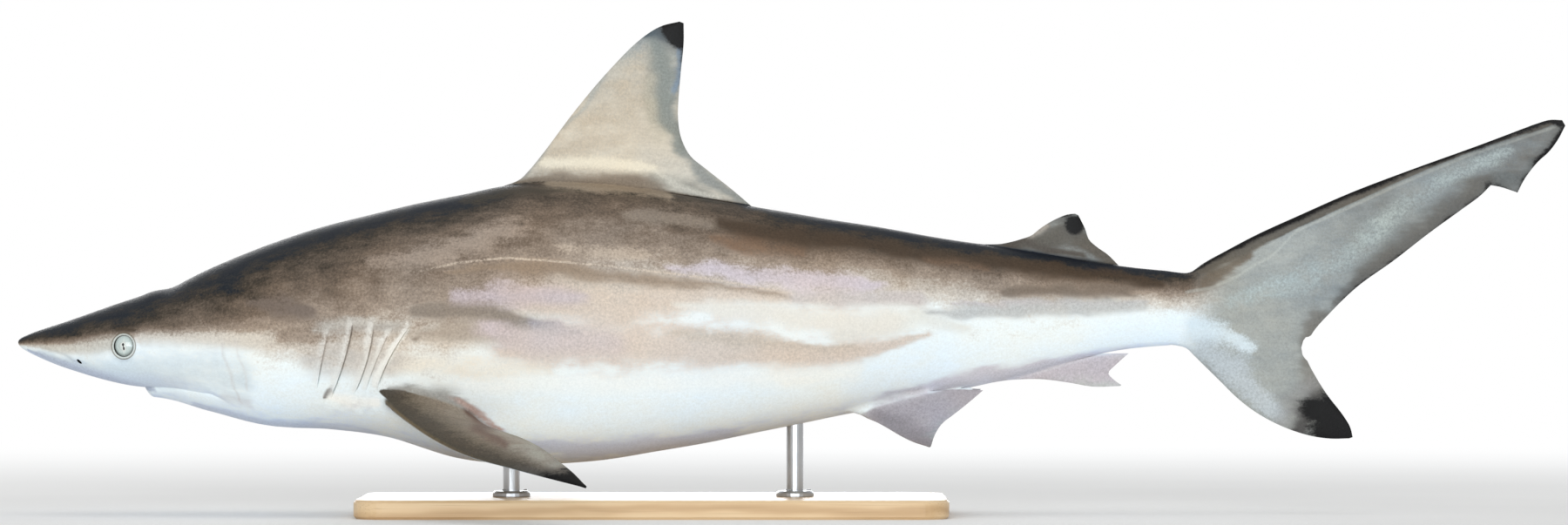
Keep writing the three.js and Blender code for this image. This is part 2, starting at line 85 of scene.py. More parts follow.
# name: distance, back, belly, half width, height of the flank, fullness above, fullness below
SECTIONS = {
    "snout tip": (0, 0, 0, 0, 0, 2, 2),
    "snout": (15, 9.3, -12, 19, -2, 2, 2.1),
    "nostrils": (50, 21, -26, 38, -4, 1.9, 2.3),
    "eyes": (104, 39.8, -40.6, 57, -4, 1.9, 2.4),
    "mouth": (150, 54.6, -47, 69, 0, 2, 2.5),
    "corners of the mouth": (184, 70.6, -59.5, 76, 4, 2, 2.5),
    "throat": (238, 92.6, -79, 85, 9, 2.1, 2.4),
    "first gill slit": (300, 112.4, -82.8, 92, 13, 2.1, 2.4),
    "front of the pectoral fins": (352, 125.4, -90, 97, 16, 2.1, 2.4),
    "back of the pectoral fins": (422, 140.2, -110.6, 100, 18, 2.05, 2.35),
    "deepest point": (485, 152, -115.6, 101, 19, 2.05, 2.35),
    "middle of the trunk": (570, 149, -110.4, 98, 21, 2, 2.3),
    "end of the first dorsal fin": (690, 131.3, -89, 87, 24, 2, 2.2),
    "front of the pelvic fins": (780, 116.4, -70.6, 73, 26, 2, 2.1),
    "back of the pelvic fins": (880, 99.4, -49.4, 55, 29, 2, 2),
    "front of the second dorsal fin": (945, 89.6, -34.4, 43, 31, 2, 2),
    "tail stalk": (1045, 73.2, -8.2, 27, 33, 2, 2),
    "front of the tail fin": (STALK_END, 66.4, -1.8, 21, 32.3, 2, 2),
}
PLACES = np.sqrt([row[0] for row in SECTIONS.values()])
SIZES = np.array([row[1:] for row in SECTIONS.values()])


def section(x):
    """Back, belly, half width, flank height and fullness above and below, at any distance from the snout."""
    at = np.sqrt(np.clip(np.asarray(x, float), 0, STALK_END))
    after = np.clip(np.searchsorted(PLACES, at, side="right"), 1, len(PLACES) - 1)
    before = after - 1
    earlier = np.where(before == 0, after, before - 1)
    later = np.where(after == len(PLACES) - 1, before, np.minimum(after + 1, len(PLACES) - 1))
    half_step = (PLACES[after] - PLACES[before]) / 2
    pull_back = half_step / (PLACES[before] - PLACES[earlier])
    pull_on = half_step / (PLACES[later] - PLACES[after])
    p = (at - PLACES[before]) / (2 * half_step)
    weights = (
        pull_back * (-(p**3) + 2 * p**2 - p),
        (1 + pull_back) * p**3 - (1.5 + 2 * pull_back) * p**2 + (pull_back - 0.5) * p + 1,
        (1.5 + pull_on) * p**2 - (1 + pull_on) * p**3 + 0.5 * p,
        pull_on * (p**3 - p**2),
    )
    total = sum(w[..., None] * SIZES[i] for w, i in zip(weights, (earlier, before, after, later)))
    return np.moveaxis(total, -1, 0)


def half_width_at(x, z):
    """How far out the side of the body is at a height."""
    back, belly, half_width, flank, above, below = section(x)
    upper = z >= flank
    share = np.clip(np.abs(z - flank) / np.where(upper, back - flank, flank - belly), 0, 1)
    power = np.where(upper, above, below)
    return half_width * (1 - share**power) ** (1 / power)


def underside(x, y):
    """The height of the underside at a distance out from the middle."""
    _, belly, half_width, flank, _, below = section(x)
    share = np.clip(np.abs(y) / half_width, 0, 1)
    return flank - (flank - belly) * (1 - share**below) ** (1 / below)


def smooth(low, high, value):
    """0 below low, 1 above high, and an S curve between."""
    t = np.clip((np.asarray(value, float) - low) / (high - low), 0, 1)
    return t * t * (3 - 2 * t)


def bump(offset, reach):
    """A round bump of height 1 that has died away at about twice its reach."""
    return np.exp(-((offset / reach) ** 2))


def line_height(line, x):
    """The height of a drawn line at x, from its few points."""
    return np.interp(x, *np.transpose(line))


def lumps(points, size, seed):
    """Smooth random lumps between -1 and 1, about that size across, the same on every run."""
    table = np.random.default_rng(seed).uniform(-1, 1, 4096)
    scaled = np.asarray(points, float) / size
    cell = np.floor(scaled).astype(int)
    part = scaled - cell
    part = part * part * (3 - 2 * part)
    total = 0
    for corner in itertools.product((0, 1), repeat=3):
        key = (cell + corner) @ (73, 179, 283) % len(table)
        total = total + table[key] * np.prod(np.where(corner, part, 1 - part), axis=-1)
    return total


print("body depth at the deepest point:", round(float(np.ptp(section(485)[:2])), 1), "mm")

# %% [markdown]
# ## Relief on the skin
#
# The real skin is not a bare spindle. It has a low swelling at the nape, a ridge along the edge of the
# snout, soft lids round the eye, five gill flaps that lie over each other like shingles, wrinkles below
# them, and a shallow furrow along the flank. A sculptor would press these into clay; here each one is a
# small formula that says how far the skin moves out or in. Relief in the mesh, and not only in the shading,
# keeps the outline and the light right from every side.

# %% Places of the gills, the eye and the nostril
GILL_SLITS = [
    {"top": (302, 9), "bottom": (291, -42), "bow": -0.5, "depth": 1.8, "flap": 1, "gape": 0},
    {"top": (325, 17), "bottom": (304, -51), "bow": 2.5, "depth": 2.8, "flap": 1.5, "gape": 3.4},
    {"top": (345, 16), "bottom": (327, -46), "bow": 3, "depth": 2.2, "flap": 1.2, "gape": 0},
    {"top": (359, 9), "bottom": (337, -44), "bow": -1, "depth": 0.7, "flap": 0.7, "gape": 0},
    {"top": (376, 12), "bottom": (348, -42), "bow": -2.5, "depth": 1.7, "flap": 1.2, "gape": 0},
]
EYE_X, EYE_Z = 106.5, -3
EYE_TALL = 1.07  # height of the opening of the eye against its length
NOSTRIL = (62.5, 39, -18)
SNOUT_EDGE = [(5, -1), (18, -3), (31, -5), (43, -9), (53, -13), (60, -17), (72, -19)]
SIDE_FURROW = [
    (353, 67), (397, 72), (462, 80), (501, 80), (599, 71), (653, 63), (735, 48), (779, 43), (900, 38),
]
MOUTH_FURROW = [(180, -47), (197, -54), (215, -66), (232, -80), (246, -92)]


def slit_x(slit, z):
    """Where a gill slit runs at a height: a shallow arc between its two ends, and a little past them."""
    (top_x, top_z), (bottom_x, bottom_z) = slit["top"], slit["bottom"]
    t = np.clip((top_z - z) / (top_z - bottom_z), -0.15, 1.15)
    bend = (top_x + bottom_x) / 2 + 2 * slit["bow"]
    return (1 - t) ** 2 * top_x + 2 * t * (1 - t) * bend + t * t * bottom_x


# %% Relief
def head_relief(x, y, z):
    back = section(x)[0]
    on_top = smooth(0.55, 0.95, z / np.maximum(back, 1))
    nape = on_top * (1.3 * bump(x - 128, 10) - 1.2 * bump(x - 148, 10))
    from_eye = np.hypot(x - EYE_X, (z - EYE_Z) / EYE_TALL)
    beside_eye = (np.abs(y) > 30) * (np.abs(x - EYE_X) < 60)
    lid = 0.4 * bump(from_eye - 11.2, 2.2) - 0.8 * bump(from_eye - 15.8, 2.4)
    brow = 1.6 * bump(x - EYE_X, 22) * bump(z - EYE_Z - 17, 5)
    cheek = 1.8 * bump(x - 158, 24) * bump(z + 22, 16)
    below_edge = line_height(SNOUT_EDGE, x) - z
    edge_fade = smooth(4, 14, x) * (1 - smooth(56, 76, x)) * (np.abs(y) > 4)
    snout_edge = edge_fade * (0.6 * bump(below_edge + 1.5, 2.2) - 1.1 * bump(below_edge - 2.8, 2.6))
    flap = 1.3 * bump(np.hypot(x - 57.5, z + 15.5), 4.5) * (np.abs(y) > 20)
    lip_line = line_height(MOUTH_FURROW, x) - z
    lip_fade = smooth(181, 190, x) * (1 - smooth(214, 244, x)) * (np.abs(y) > 20)
    furrow = lip_fade * (0.9 * bump(lip_line + 4.5, 4) - 1.7 * bump(lip_line, 2.6))
    return nape + beside_eye * (lid + brow) + cheek + snout_edge + flap + furrow


def gill_relief(x, y, z):
    total = 0
    on_side = smooth(52, 66, np.abs(y))
    for slit in GILL_SLITS:
        behind = x - slit_x(slit, z)
        above_end, below_top = z - slit["bottom"][1], slit["top"][1] - z
        inside = smooth(-3, 9, below_top) * smooth(-3, 9, above_end)
        raised = np.exp(np.minimum(behind, 0) / 7)
        sunk = -0.8 * np.exp(-np.maximum(behind, 0) / 5)
        flap = np.where(behind < 0, raised, sunk)
        groove = slit["depth"] * smooth(-1, 5, below_top) * smooth(-1, 5, above_end) * bump(behind, 0.42)
        pocket = slit["gape"] * bump(np.hypot((behind + 2.6) / 2.6, (above_end - 5) / 5), 1)
        total = total + inside * slit["flap"] * flap - groove - pocket
    points = np.stack([x, y, z], -1)
    wrinkled = smooth(286, 298, x) * (1 - smooth(338, 356, x)) * bump(z + 58, 9)
    wrinkles = 1.2 * wrinkled * (lumps(points * (1, 1, 0.4), 5, 3) + 0.5 * lumps(points, 3.4, 4))
    puckered = smooth(270, 290, x) * (1 - smooth(375, 392, x)) * bump(z + 12, 28)
    return on_side * (total + wrinkles + 0.45 * puckered * lumps(points * (1, 1, 0.35), 8, 5))


def trunk_relief(x, y, z):
    back, belly = section(x)[:2]
    above_furrow = z - line_height(SIDE_FURROW, x)
    furrow_fade = smooth(340, 420, x) * (1 - smooth(740, 900, x))
    furrow = furrow_fade * (0.9 * bump(above_furrow - 7, 7) - 1.7 * bump(above_furrow + 6, 7))
    points = np.stack([x, y, z], -1)
    muscle = 0.7 * smooth(200, 320, x) * (1 - smooth(1000, 1100, x)) * lumps(points, 55, 6)
    stalk_top = smooth(0.8, 1, z / back)
    upper_pit = -2.6 * stalk_top * bump(x - 1108, 3.6)
    lower_pit = -2.0 * smooth(0.6, 1, (33 - z) / (33 - belly)) * bump(x - 1104, 3.2)
    vent = -2.2 * bump(x - 868, 9) * bump(np.abs(y), 3.2) * (z < 0)
    keel = 0.5 * bump(z - 33, 5) * smooth(960, 1060, x)
    return furrow + muscle + upper_pit + lower_pit + vent + keel


def relief(x, y, z):
    """How far the skin stands out from the plain body, in millimetres."""
    return head_relief(x, y, z) + gill_relief(x, y, z) + trunk_relief(x, y, z)


# %% [markdown]
# ## The grid of the body
#
# The body is lofted through rings, as a boat's planking runs over its frames. The rings are 1.6 mm apart on
# the head, where the detail is, and 6 mm apart on the smooth trunk, which keeps the whole skin under
# 200,000 triangles. Through the gills the rings are bent so that a few of them run exactly along each slit.
# The slits and the steps of the gill flaps are then pressed in between rings, with no boolean and no ragged
# edge.

# %% Body rings
RING_POINTS = 168
SNOUT_START = 0.15
SLIT_HOMES = [295, 313, 335, 349, 363]  # where the rings of the slits are before they are bent
SLIT_RINGS = (-2.6, -1.3, -0.62, -0.3, 0, 0.3, 0.62, 1.3, 2.6)
BENT_FROM, BENT_TO = 262, 425
BENT_LOW, BENT_HIGH = -58, 24


def ring_places():
    places = [SNOUT_START]
    while places[-1] < STALK_END:
        x = places[-1]
        fine = min(0.15 + 0.13 * x, 1.6)
        places.append(x + fine + 0.4 * smooth(118, 150, x) + 5.9 * smooth(385, 440, x))
    places[-1] = STALK_END + 0.4
    homes = np.array(SLIT_HOMES)[:, None]
    own = (homes + SLIT_RINGS).ravel()
    spare = [x for x in places if np.min(np.abs(homes - x)) > SLIT_RINGS[-1] + 0.7]
    return np.sort(np.concatenate([spare, own]))


def bent(places, height):
    """Ring places moved along the body so that each slit's own ring follows the slit."""
    level = np.clip(height, BENT_LOW, BENT_HIGH)
    before_home, before = BENT_FROM, np.full_like(places, BENT_FROM)
    moved = places.copy()
    for home, slit in zip([*SLIT_HOMES, BENT_TO], [*GILL_SLITS, None]):
        after = slit_x(slit, level) if slit else np.full_like(places, BENT_TO)
        share = (places - before_home) / (home - before_home)
        here = (share >= 0) & (share < 1)
        moved = np.where(here, before + share * (after - before), moved)
        before_home, before = home, after
    return moved


def body_point(x, angle):
    """A point of the plain body. The angle runs from the back past the left flank to the belly, at pi."""
    back, belly, half_width, flank, above, below = section(x)
    upper = np.cos(angle) >= 0
    power = 2 / np.where(upper, above, below)
    rise = np.where(upper, back - flank, flank - belly)
    y = -np.sign(np.sin(angle)) * half_width * np.abs(np.sin(angle)) ** power
    z = flank + np.sign(np.cos(angle)) * rise * np.abs(np.cos(angle)) ** power
    return np.stack([np.broadcast_to(x, y.shape), y, z], -1)


def outward(points):
    """The direction straight out of the plain body, across its length."""
    back, belly, half_width, flank, _, _ = section(points[..., 0])
    rise = np.where(points[..., 2] >= flank, back - flank, flank - belly)
    across = points[..., 1] / half_width**2
    up = (points[..., 2] - flank) / rise**2
    length = np.hypot(across, up) + 1e-9
    return np.stack([0 * across, across / length, up / length], -1)


def body_rings():
    turns = 2 * np.pi * np.arange(RING_POINTS) / RING_POINTS
    places, angles = np.meshgrid(ring_places(), turns, indexing="ij")
    level = body_point(places, angles)[..., 2]
    level = body_point(bent(places, level), angles)[..., 2]
    points = body_point(bent(places, level), angles)
    return points + outward(points) * relief(*np.moveaxis(points, -1, 0))[..., None]


def loft(rings):
    """Points and faces of a closed solid through rings, with a fan of faces over each end."""
    count = rings.shape[1]
    last = (len(rings) - 1) * count
    points = np.vstack([rings.reshape(-1, 3), rings[0].mean(0), rings[-1].mean(0)])
    first_centre = last + count
    near = np.arange(count)
    far = (near + 1) % count
    starts = np.arange(0, last, count)[:, None]
    across = starts + count + far
    sides = np.stack([starts + near, starts + far, across, starts + near, across, starts + count + near], -1)
    front = np.stack([np.full(count, first_centre), far, near], -1)
    rear = np.stack([np.full(count, first_centre + 1), last + near, last + far], -1)
    return points, [*sides.reshape(-1, 3).tolist(), *front.tolist(), *rear.tolist()]


def solid(name, points, faces):
    """A mesh object in the frame, with its faces pointing out."""
    mesh = bpy.data.meshes.new(name)
    mesh.from_pydata(in_frame(points).tolist(), [], faces)
    mesh.update()
    made = bpy.data.objects.new(name, mesh)
    bpy.context.scene.collection.objects.link(made)
    if enclosed(mesh) < 0:
        mesh.flip_normals()
    return made


def enclosed(mesh):
    """The volume inside a closed mesh, in cubic metres, below zero if it is inside out."""
    mesh.calc_loop_triangles()
    corners = np.zeros(len(mesh.loop_triangles) * 3, np.int32)
    mesh.loop_triangles.foreach_get("vertices", corners)
    a, b, c = vertices_of(mesh)[corners].reshape(-1, 3, 3).swapaxes(0, 1)
    return float(np.einsum("ij,ij->", a, np.cross(b, c)) / 6)


def vertices_of(mesh):
    flat = np.zeros(len(mesh.vertices) * 3, np.float32)
    mesh.vertices.foreach_get("co", flat)
    return flat.reshape(-1, 3).astype(float)


skin = solid("skin", *loft(body_rings()))
print("body grid:", len(skin.data.vertices), "points,", round(enclosed(skin.data) * 1000, 2), "litres")

# %% [markdown]
# ## Fins
#
# A shark's fin is a stiff blade of cartilage and fine rays under skin. It is round at the leading edge,
# thickest about a third of the way back, and thin at the trailing edge, as a wing is. Each fin is lofted
# between two margins. A margin is a smooth curve through a few points, and where it turns a corner, as at
# the free rear tip, it is made of several curves that meet. Thickness comes from one aerofoil rule, so all
# the fins feel alike.
#
# Near the root the blade flares, because the muscle of the fin runs out over the body.

# %% Fin margins and cross sections
FIN_EDGE = 0.6  # half thickness that a fin keeps at its edges in the solids
SIDEWAYS = np.array([0.0, 1.0, 0.0])


def smooth_curve(points, steps=24):
    """A curve through points with even, unkinked bends, as a dense row of points."""
    p = np.array(points, float)
    p = np.vstack([2 * p[0] - p[1], p, 2 * p[-1] - p[-2]])
    t = np.linspace(0, 1, steps, endpoint=False)[:, None]
    parts = []
    for a, b, c, d in zip(p, p[1:], p[2:], p[3:]):
        ab, bc, cd = (np.linalg.norm(v) ** 0.5 for v in (b - a, c - b, d - c))
        start = ((b - a) / ab - (c - a) / (ab + bc) + (c - b) / bc) * bc
        end = ((c - b) / bc - (d - b) / (bc + cd) + (d - c) / cd) * bc
        squared = (3 * (c - b) - 2 * start - end) * t**2
        cubed = (2 * (b - c) + start + end) * t**3
        parts.append(b + start * t + squared + cubed)
    return np.vstack([*parts, p[-2]])


def along(curve, share):
    """Points at even shares of a curve's length."""
    run = np.concatenate([[0], np.cumsum(np.linalg.norm(np.diff(curve, axis=0), axis=1))])
    return np.stack([np.interp(share * run[-1], run, curve[:, k]) for k in range(3)], -1)


def margin(stretches, rows):
    """Points of a margin at rows from 0 to 1. Each stretch is (the row it ends at, its points)."""
    made = np.zeros((len(rows), 3))
    start = 0
    for end, points in stretches:
        curve = smooth_curve(points)
        here = (rows >= start) if start == 0 else (rows > start + 1e-9)
        made[here] = along(curve, np.clip((rows[here] - start) / (end - start), 0, 1))
        start = end
    return made


def aerofoil(u):
    """Half thickness across a fin, of height 1: round in front, thin behind."""
    return np.sqrt(u) * (1 - u) / (math.sqrt(1 / 3) * 2 / 3)


def fin_rows(count, corners):
    rows = np.linspace(0, 1, count)
    for corner in corners:
        rows[np.argmin(np.abs(rows - corner))] = corner
    return np.unique(rows)


def fin_rings(leading, trailing, half, count, across, normal=SIDEWAYS, camber=None):
    """Rings of a fin from its root to its tip. half and camber are rules of u, across it, and t, along it."""
    corners = {end for end, _ in (*leading, *trailing)}
    rows = fin_rows(count, corners)
    front, rear = margin(leading, rows), margin(trailing, rows)
    step = np.linspace(0, 1, across + 1)
    u = (0.35 * step + 0.65 * step**2.2)[None, :]
    t = rows[:, None]
    edge = (FIN_EDGE - 0.25) * np.sqrt(1 - (2 * u - 1) ** 16) + 0.25 * u
    thick = edge + half(u, t)
    middle = front[:, None] + (rear - front)[:, None] * u[..., None]
    if camber is not None:
        middle = middle + normal * camber(u, t)[..., None]
    near = middle - normal * thick[..., None]
    away = middle + normal * thick[..., None]
    return np.concatenate([near, away[:, :0:-1]], axis=1)


# %% Fins on the midline
# Each margin is a list of stretches: (the row it ends at, its points in the side view).
MIDLINE_FINS = {
    "first dorsal": {
        "leading": [
            (1, [(452, 138), (470, 151), (484, 161), (500, 180), (530, 220), (562, 258), (592, 288),
                 (612, 301), (630, 305.6)]),
        ],
        "trailing": [
            (0.08, [(632, 124), (629, 138)]),
            (0.24, [(629, 138), (664, 133.6), (700, 128.4)]),
            (1, [(700, 128.4), (680, 145.5), (656, 164.5), (640, 178), (631.5, 195), (628.6, 215), (631, 255),
                 (634, 285), (634, 304)]),
        ],
        "thickness": (8.5, 1, 10),
        "grid": (64, 46),
    },
    "second dorsal": {
        "leading": [
            (1, [(905, 84), (930, 93), (950, 97), (965, 101.5), (974, 108.6), (986, 116), (1000, 121.8),
                 (1007, 122.4)]),
        ],
        "trailing": [
            (0.15, [(1000, 66), (999, 77)]),
            (0.38, [(999, 77), (1024, 75.4), (1048.5, 73)]),
            (1, [(1048.5, 73), (1038, 83.5), (1028, 90.5), (1020, 98), (1016.5, 108), (1010, 121)]),
        ],
        "thickness": (4, 0.6, 5),
        "grid": (30, 30),
    },
    "anal": {
        "leading": [
            (1, [(912, -26), (930, -36.4), (950, -36), (975, -35.4), (1000, -38.4), (1024, -42.4),
                 (1050, -41.8)]),
        ],
        "trailing": [
            (0.15, [(1006, -4), (1005, -13)]),
            (0.4, [(1005, -13), (1032, -11), (1058, -10.6)]),
            (1, [(1058, -10.6), (1046, -21.4), (1038.6, -29.6), (1043.5, -35.6), (1051, -41)]),
        ],
        "thickness": (3, 0.4, 3),
        "grid": (28, 30),
    },
}


def midplane(stretches):
    return [(end, [(x, 0, z) for x, z in points]) for end, points in stretches]


def tapered(root, tip, flare):
    """Thickness from root to tip, with a flare that runs out into the body at the root."""
    return lambda u, t: (root + (tip - root) * t + flare * np.exp(-t / 0.07)) * aerofoil(u)


def midline_fin(fin):
    half = tapered(*fin["thickness"])
    return fin_rings(midplane(fin["leading"]), midplane(fin["trailing"]), half, *fin["grid"])


# %% Paired fins
PECTORAL_SPAN = 275
RIGHT_PECTORAL_RAISED = 14  # the right fin is carried a little higher than the left
RAISED_FROM = 80
PECTORAL_LEADING = [
    (0.1, [(338, 50, -42), (352, 82, -54)]),
    (1, [(352, 82, -54), (380, 128, -73.6), (408, 168, -89.6), (440, 203, -102.6), (480, 234, -112.6),
         (520, 259, -122), (549, PECTORAL_SPAN, -128.4)]),
]
PECTORAL_TRAILING = [
    (0.1, [(424, 50, -54), (434, 84, -64)]),
    (0.26, [(434, 84, -64), (450, 90, -75), (463, 97, -82)]),
    (1, [(463, 97, -82), (486, 150, -87.5), (508, 202, -96.5), (524, 233, -107), (538, 257, -117),
         (550, PECTORAL_SPAN - 1, -128.4)]),
]
PELVIC_LEADING = [
    (0.12, [(788, 10, -48), (798, 20, -68)]),
    (1, [(798, 20, -68), (812, 28, -73), (824, 38, -79), (840, 51, -88), (852, 62, -93.4), (866, 76, -97.4)]),
]
PELVIC_TRAILING = [
    (0.12, [(866, 10, -26), (867, 24, -45.6)]),
    (0.35, [(867, 24, -45.6), (892, 27, -44.6), (918, 30.5, -45.4)]),
    (1, [(918, 30.5, -45.4), (904, 38, -57), (891, 46, -67), (879, 54, -76), (872, 64, -86),
         (868, 75, -96.6)]),
]


def one_side(stretches, side, raised=0.0):
    """A margin on one side of the body, lifted by a slope from a little way out."""
    return [
        (end, [(x, side * y, z + raised * max(y - RAISED_FROM, 0)) for x, y, z in points])
        for end, points in stretches
    ]


def pectoral_fin(side):
    raised = RIGHT_PECTORAL_RAISED / (PECTORAL_SPAN - RAISED_FROM) if side == RIGHT else 0.0
    normal = np.array([0.2, side * 0.28, 0.94])
    return fin_rings(
        one_side(PECTORAL_LEADING, side, raised),
        one_side(PECTORAL_TRAILING, side, raised),
        half=lambda u, t: (11.5 - 10.7 * np.sqrt(t)) * aerofoil(u),
        count=66,
        across=30,
        normal=normal / np.linalg.norm(normal),
        camber=lambda u, t: 4 * (1 - t) * np.sin(np.pi * u),
    )


def pelvic_fin(side):
    normal = np.array([0.1, side * 0.62, 0.78])
    return fin_rings(
        one_side(PELVIC_LEADING, side),
        one_side(PELVIC_TRAILING, side),
        half=lambda u, t: (6 - 5.2 * t) * aerofoil(u),
        count=28,
        across=24,
        normal=normal / np.linalg.norm(normal),
    )


def clasper(side):
    """The clasper of a male that is not yet mature: a short blunt rod along the root of the pelvic fin."""
    middle = smooth_curve([(850, 13, -46), (876, 14, -48), (894, 13.6, -46.4), (909, 13, -44.6)], 8)
    turn = 2 * np.pi * np.arange(16) / 16
    share = np.linspace(0, 1, len(middle))[:, None]
    round_off = np.sqrt(np.clip(1 - np.clip((share - 0.86) / 0.14, 0, 0.995) ** 2, 0, 1))
    across = side * (middle[:, 1:2] + 2.7 * round_off * np.cos(turn))
    up = middle[:, 2:3] + 3.2 * round_off * np.sin(turn)
    return np.stack([np.broadcast_to(middle[:, 0:1], up.shape), across, up], -1)


# %% [markdown]
# ## Tail fin
#
# The tail fin is two blades that meet along a seam from the middle of the stalk to the fork. At the stalk
# they are as thick as the body, and they thin out towards the fork, so that the body seems to flow into the
# fin. The backbone runs up into the upper lobe near its top edge, where the blade keeps a low ridge. The
# upper lobe has a small notch near its tip. In the mesh each lobe reaches a little past the seam, so that
# joining them leaves no gap.

# %% Tail lobes
FORK = (1225.5, -6)
FORK_SHARE = 0.26  # share of the rows of the upper lobe that lie before the fork
LOWER_FORK_SHARE = 0.5
SEAM_OVERLAP = 2
TAIL_START = STALK_END - 0.6
SEAM = [(TAIL_START, 32.3), (1150, 22), (1190, 8), FORK]
STALK_HALF_WIDTH = 21


def seam_half(t):
    """Half thickness on the seam: as thick as the stalk at first, an edge at the fork."""
    return (STALK_HALF_WIDTH - FIN_EDGE) * np.clip(1 - t / FORK_SHARE, 0, 1) ** 1.6


def seam(overlap):
    return [(x, z + overlap * (1 - (x - TAIL_START) / (FORK[0] - TAIL_START))) for x, z in SEAM]


def upper_lobe():
    leading = [
        (0.03, [(TAIL_START, 66.3), (1118, 67)]),
        (0.93, [(1118, 67), (1130, 75.6), (1150, 86.6), (1180, 102.4), (1220, 120.6), (1270, 142.6),
                (1330, 165.4), (1390, 187), (1443, 207)]),
        (1, [(1443, 207), (1459, 211.8), (1471, 211.6)]),
    ]
    trailing = [
        (FORK_SHARE, seam(-SEAM_OVERLAP)),
        (0.78, [FORK, (1234, 10), (1248, 26), (1276, 53), (1310, 77.4), (1344, 103.8), (1376, 127),
                (1393, 139.6), (1403, 149.6)]),
        (0.83, [(1403, 149.6), (1412, 148), (1428.5, 142.6)]),
        (1, [(1428.5, 142.6), (1435.5, 156), (1448, 172), (1458, 181), (1467, 193), (1474, 206.4)]),
    ]

    def half(u, t):
        blade = 7.0 * smooth(0, 0.3, t) * (1 - t) ** 1.1 * aerofoil(u)
        backbone = 0.9 * smooth(0.1, 0.3, t) * (1 - t) * bump(u - 0.3, 0.12)
        return seam_half(t) * np.sqrt(u * (2 - u)) + blade + backbone

    return fin_rings(midplane(leading), midplane(trailing), half, 118, 30)


def lower_lobe():
    leading = [
        (1, [(TAIL_START, -3), (1116, -8.6), (1128, -20.4), (1145, -37), (1161, -52.8), (1180, -67.4),
             (1205, -80.6), (1230, -89), (1250, -92), (1268, -91.8)]),
    ]
    trailing = [
        (LOWER_FORK_SHARE, seam(SEAM_OVERLAP)),
        (1, [FORK, (1228, -17), (1236, -32.6), (1247, -50), (1262, -69.4), (1269, -81), (1271.4, -90.6)]),
    ]

    def half(u, t):
        root = seam_half(np.minimum(t / LOWER_FORK_SHARE, 1) * FORK_SHARE)
        return root * np.sqrt(u * (2 - u)) + 4.8 * smooth(0, 0.4, t) * (1 - t) * aerofoil(u)

    return fin_rings(midplane(leading), midplane(trailing), half, 56, 26)


# %% [markdown]
# ## One skin
#
# The fins are joined to the body with booleans, which leave one closed surface but also a hard crease at
# every root. The crease is found again as the points that no part had before, and the skin within a few
# millimetres of it is relaxed, each point moving towards the middle of its neighbours. That is what a
# finger does to the join in clay. The mouth, the nostrils, the eye sockets and the free tips are cut after
# this, so that their edges stay crisp.

# %% Joining and cutting
CREASE_REACH = 13
CREASE_ROUNDS = 24
PECTORAL_ENDS = [(350, 86, -54), (455, 94, -74)]  # where the root of the pectoral fin starts and ends
PECTORAL_END_REACH = 20
PECTORAL_END_ROUNDS = 30


def combine(target, tool, operation):
    """Joins tool to target or cuts it away, and removes the tool."""
    change = target.modifiers.new("change", "BOOLEAN")
    change.operation = operation
    change.solver = "MANIFOLD"
    change.object = tool
    bpy.context.view_layer.update()
    evaluated = target.evaluated_get(bpy.context.evaluated_depsgraph_get())
    made = bpy.data.meshes.new_from_object(evaluated)
    target.modifiers.remove(change)
    old = target.data
    target.data = made
    bpy.data.meshes.remove(old)
    bpy.data.objects.remove(tool)


def edges_of(mesh):
    flat = np.zeros(len(mesh.edges) * 2, np.int32)
    mesh.edges.foreach_get("vertices", flat)
    return flat.reshape(-1, 2)


def relax(mesh, weight, rounds):
    """Moves each point towards the middle of its neighbours, by its weight, for some rounds."""
    a, b = edges_of(mesh).T
    points = vertices_of(mesh)
    count = len(points)
    neighbours = np.bincount(np.concatenate([a, b]), minlength=count)
    for _ in range(rounds):
        total = np.stack([
            np.bincount(np.concatenate([a, b]), np.concatenate([points[b, k], points[a, k]]), count)
            for k in range(3)
        ], -1)
        points += (0.5 * weight)[:, None] * (total / neighbours[:, None] - points)
    mesh.vertices.foreach_set("co", points.astype(np.float32).ravel())
    mesh.update()


def nearness(points, marks, reach):
    """1 on the marked points, fading to 0 at a reach from them, both in millimetres."""
    tree = KDTree(len(marks))
    for i, mark in enumerate(marks):
        tree.insert(mark, i)
    tree.balance()
    near = np.array([tree.find(point)[2] for point in points])
    return 1 - smooth(0, 1, near / (reach * MM))


def on_free_tip(point):
    """The rear tips of the midline fins lie free on the body, so no soft fillet joins them to it."""
    x, _, z = point
    return (636 < x < 720 and z > 100) or (1004 < x < 1070 and abs(z - 30) > 25)


fins = {name: midline_fin(fin) for name, fin in MIDLINE_FINS.items()}
fins |= {"tail, upper lobe": upper_lobe(), "tail, lower lobe": lower_lobe()}
for side, word in ((LEFT, "left"), (RIGHT, "right")):
    fins["pectoral, " + word] = pectoral_fin(side)
    fins["pelvic, " + word] = pelvic_fin(side)
    fins["clasper, " + word] = clasper(side)

known = {tuple(point) for point in vertices_of(skin.data).round(6)}
for name, rings in fins.items():
    blade = solid(name, *loft(rings))
    known |= {tuple(point) for point in vertices_of(blade.data).round(6)}
    combine(skin, blade, "UNION")
points = vertices_of(skin.data)
crease = [p for p in points if tuple(p.round(6)) not in known and not on_free_tip(in_body(p))]
print("skin with fins:", len(points), "points,", len(crease), "of them on the creases")
relax(skin.data, nearness(points, crease, CREASE_REACH), CREASE_ROUNDS)
ends = [in_frame((x, side * y, z)) for side in (LEFT, RIGHT) for x, y, z in PECTORAL_ENDS]
relax(skin.data, nearness(vertices_of(skin.data), ends, PECTORAL_END_REACH), PECTORAL_END_ROUNDS)

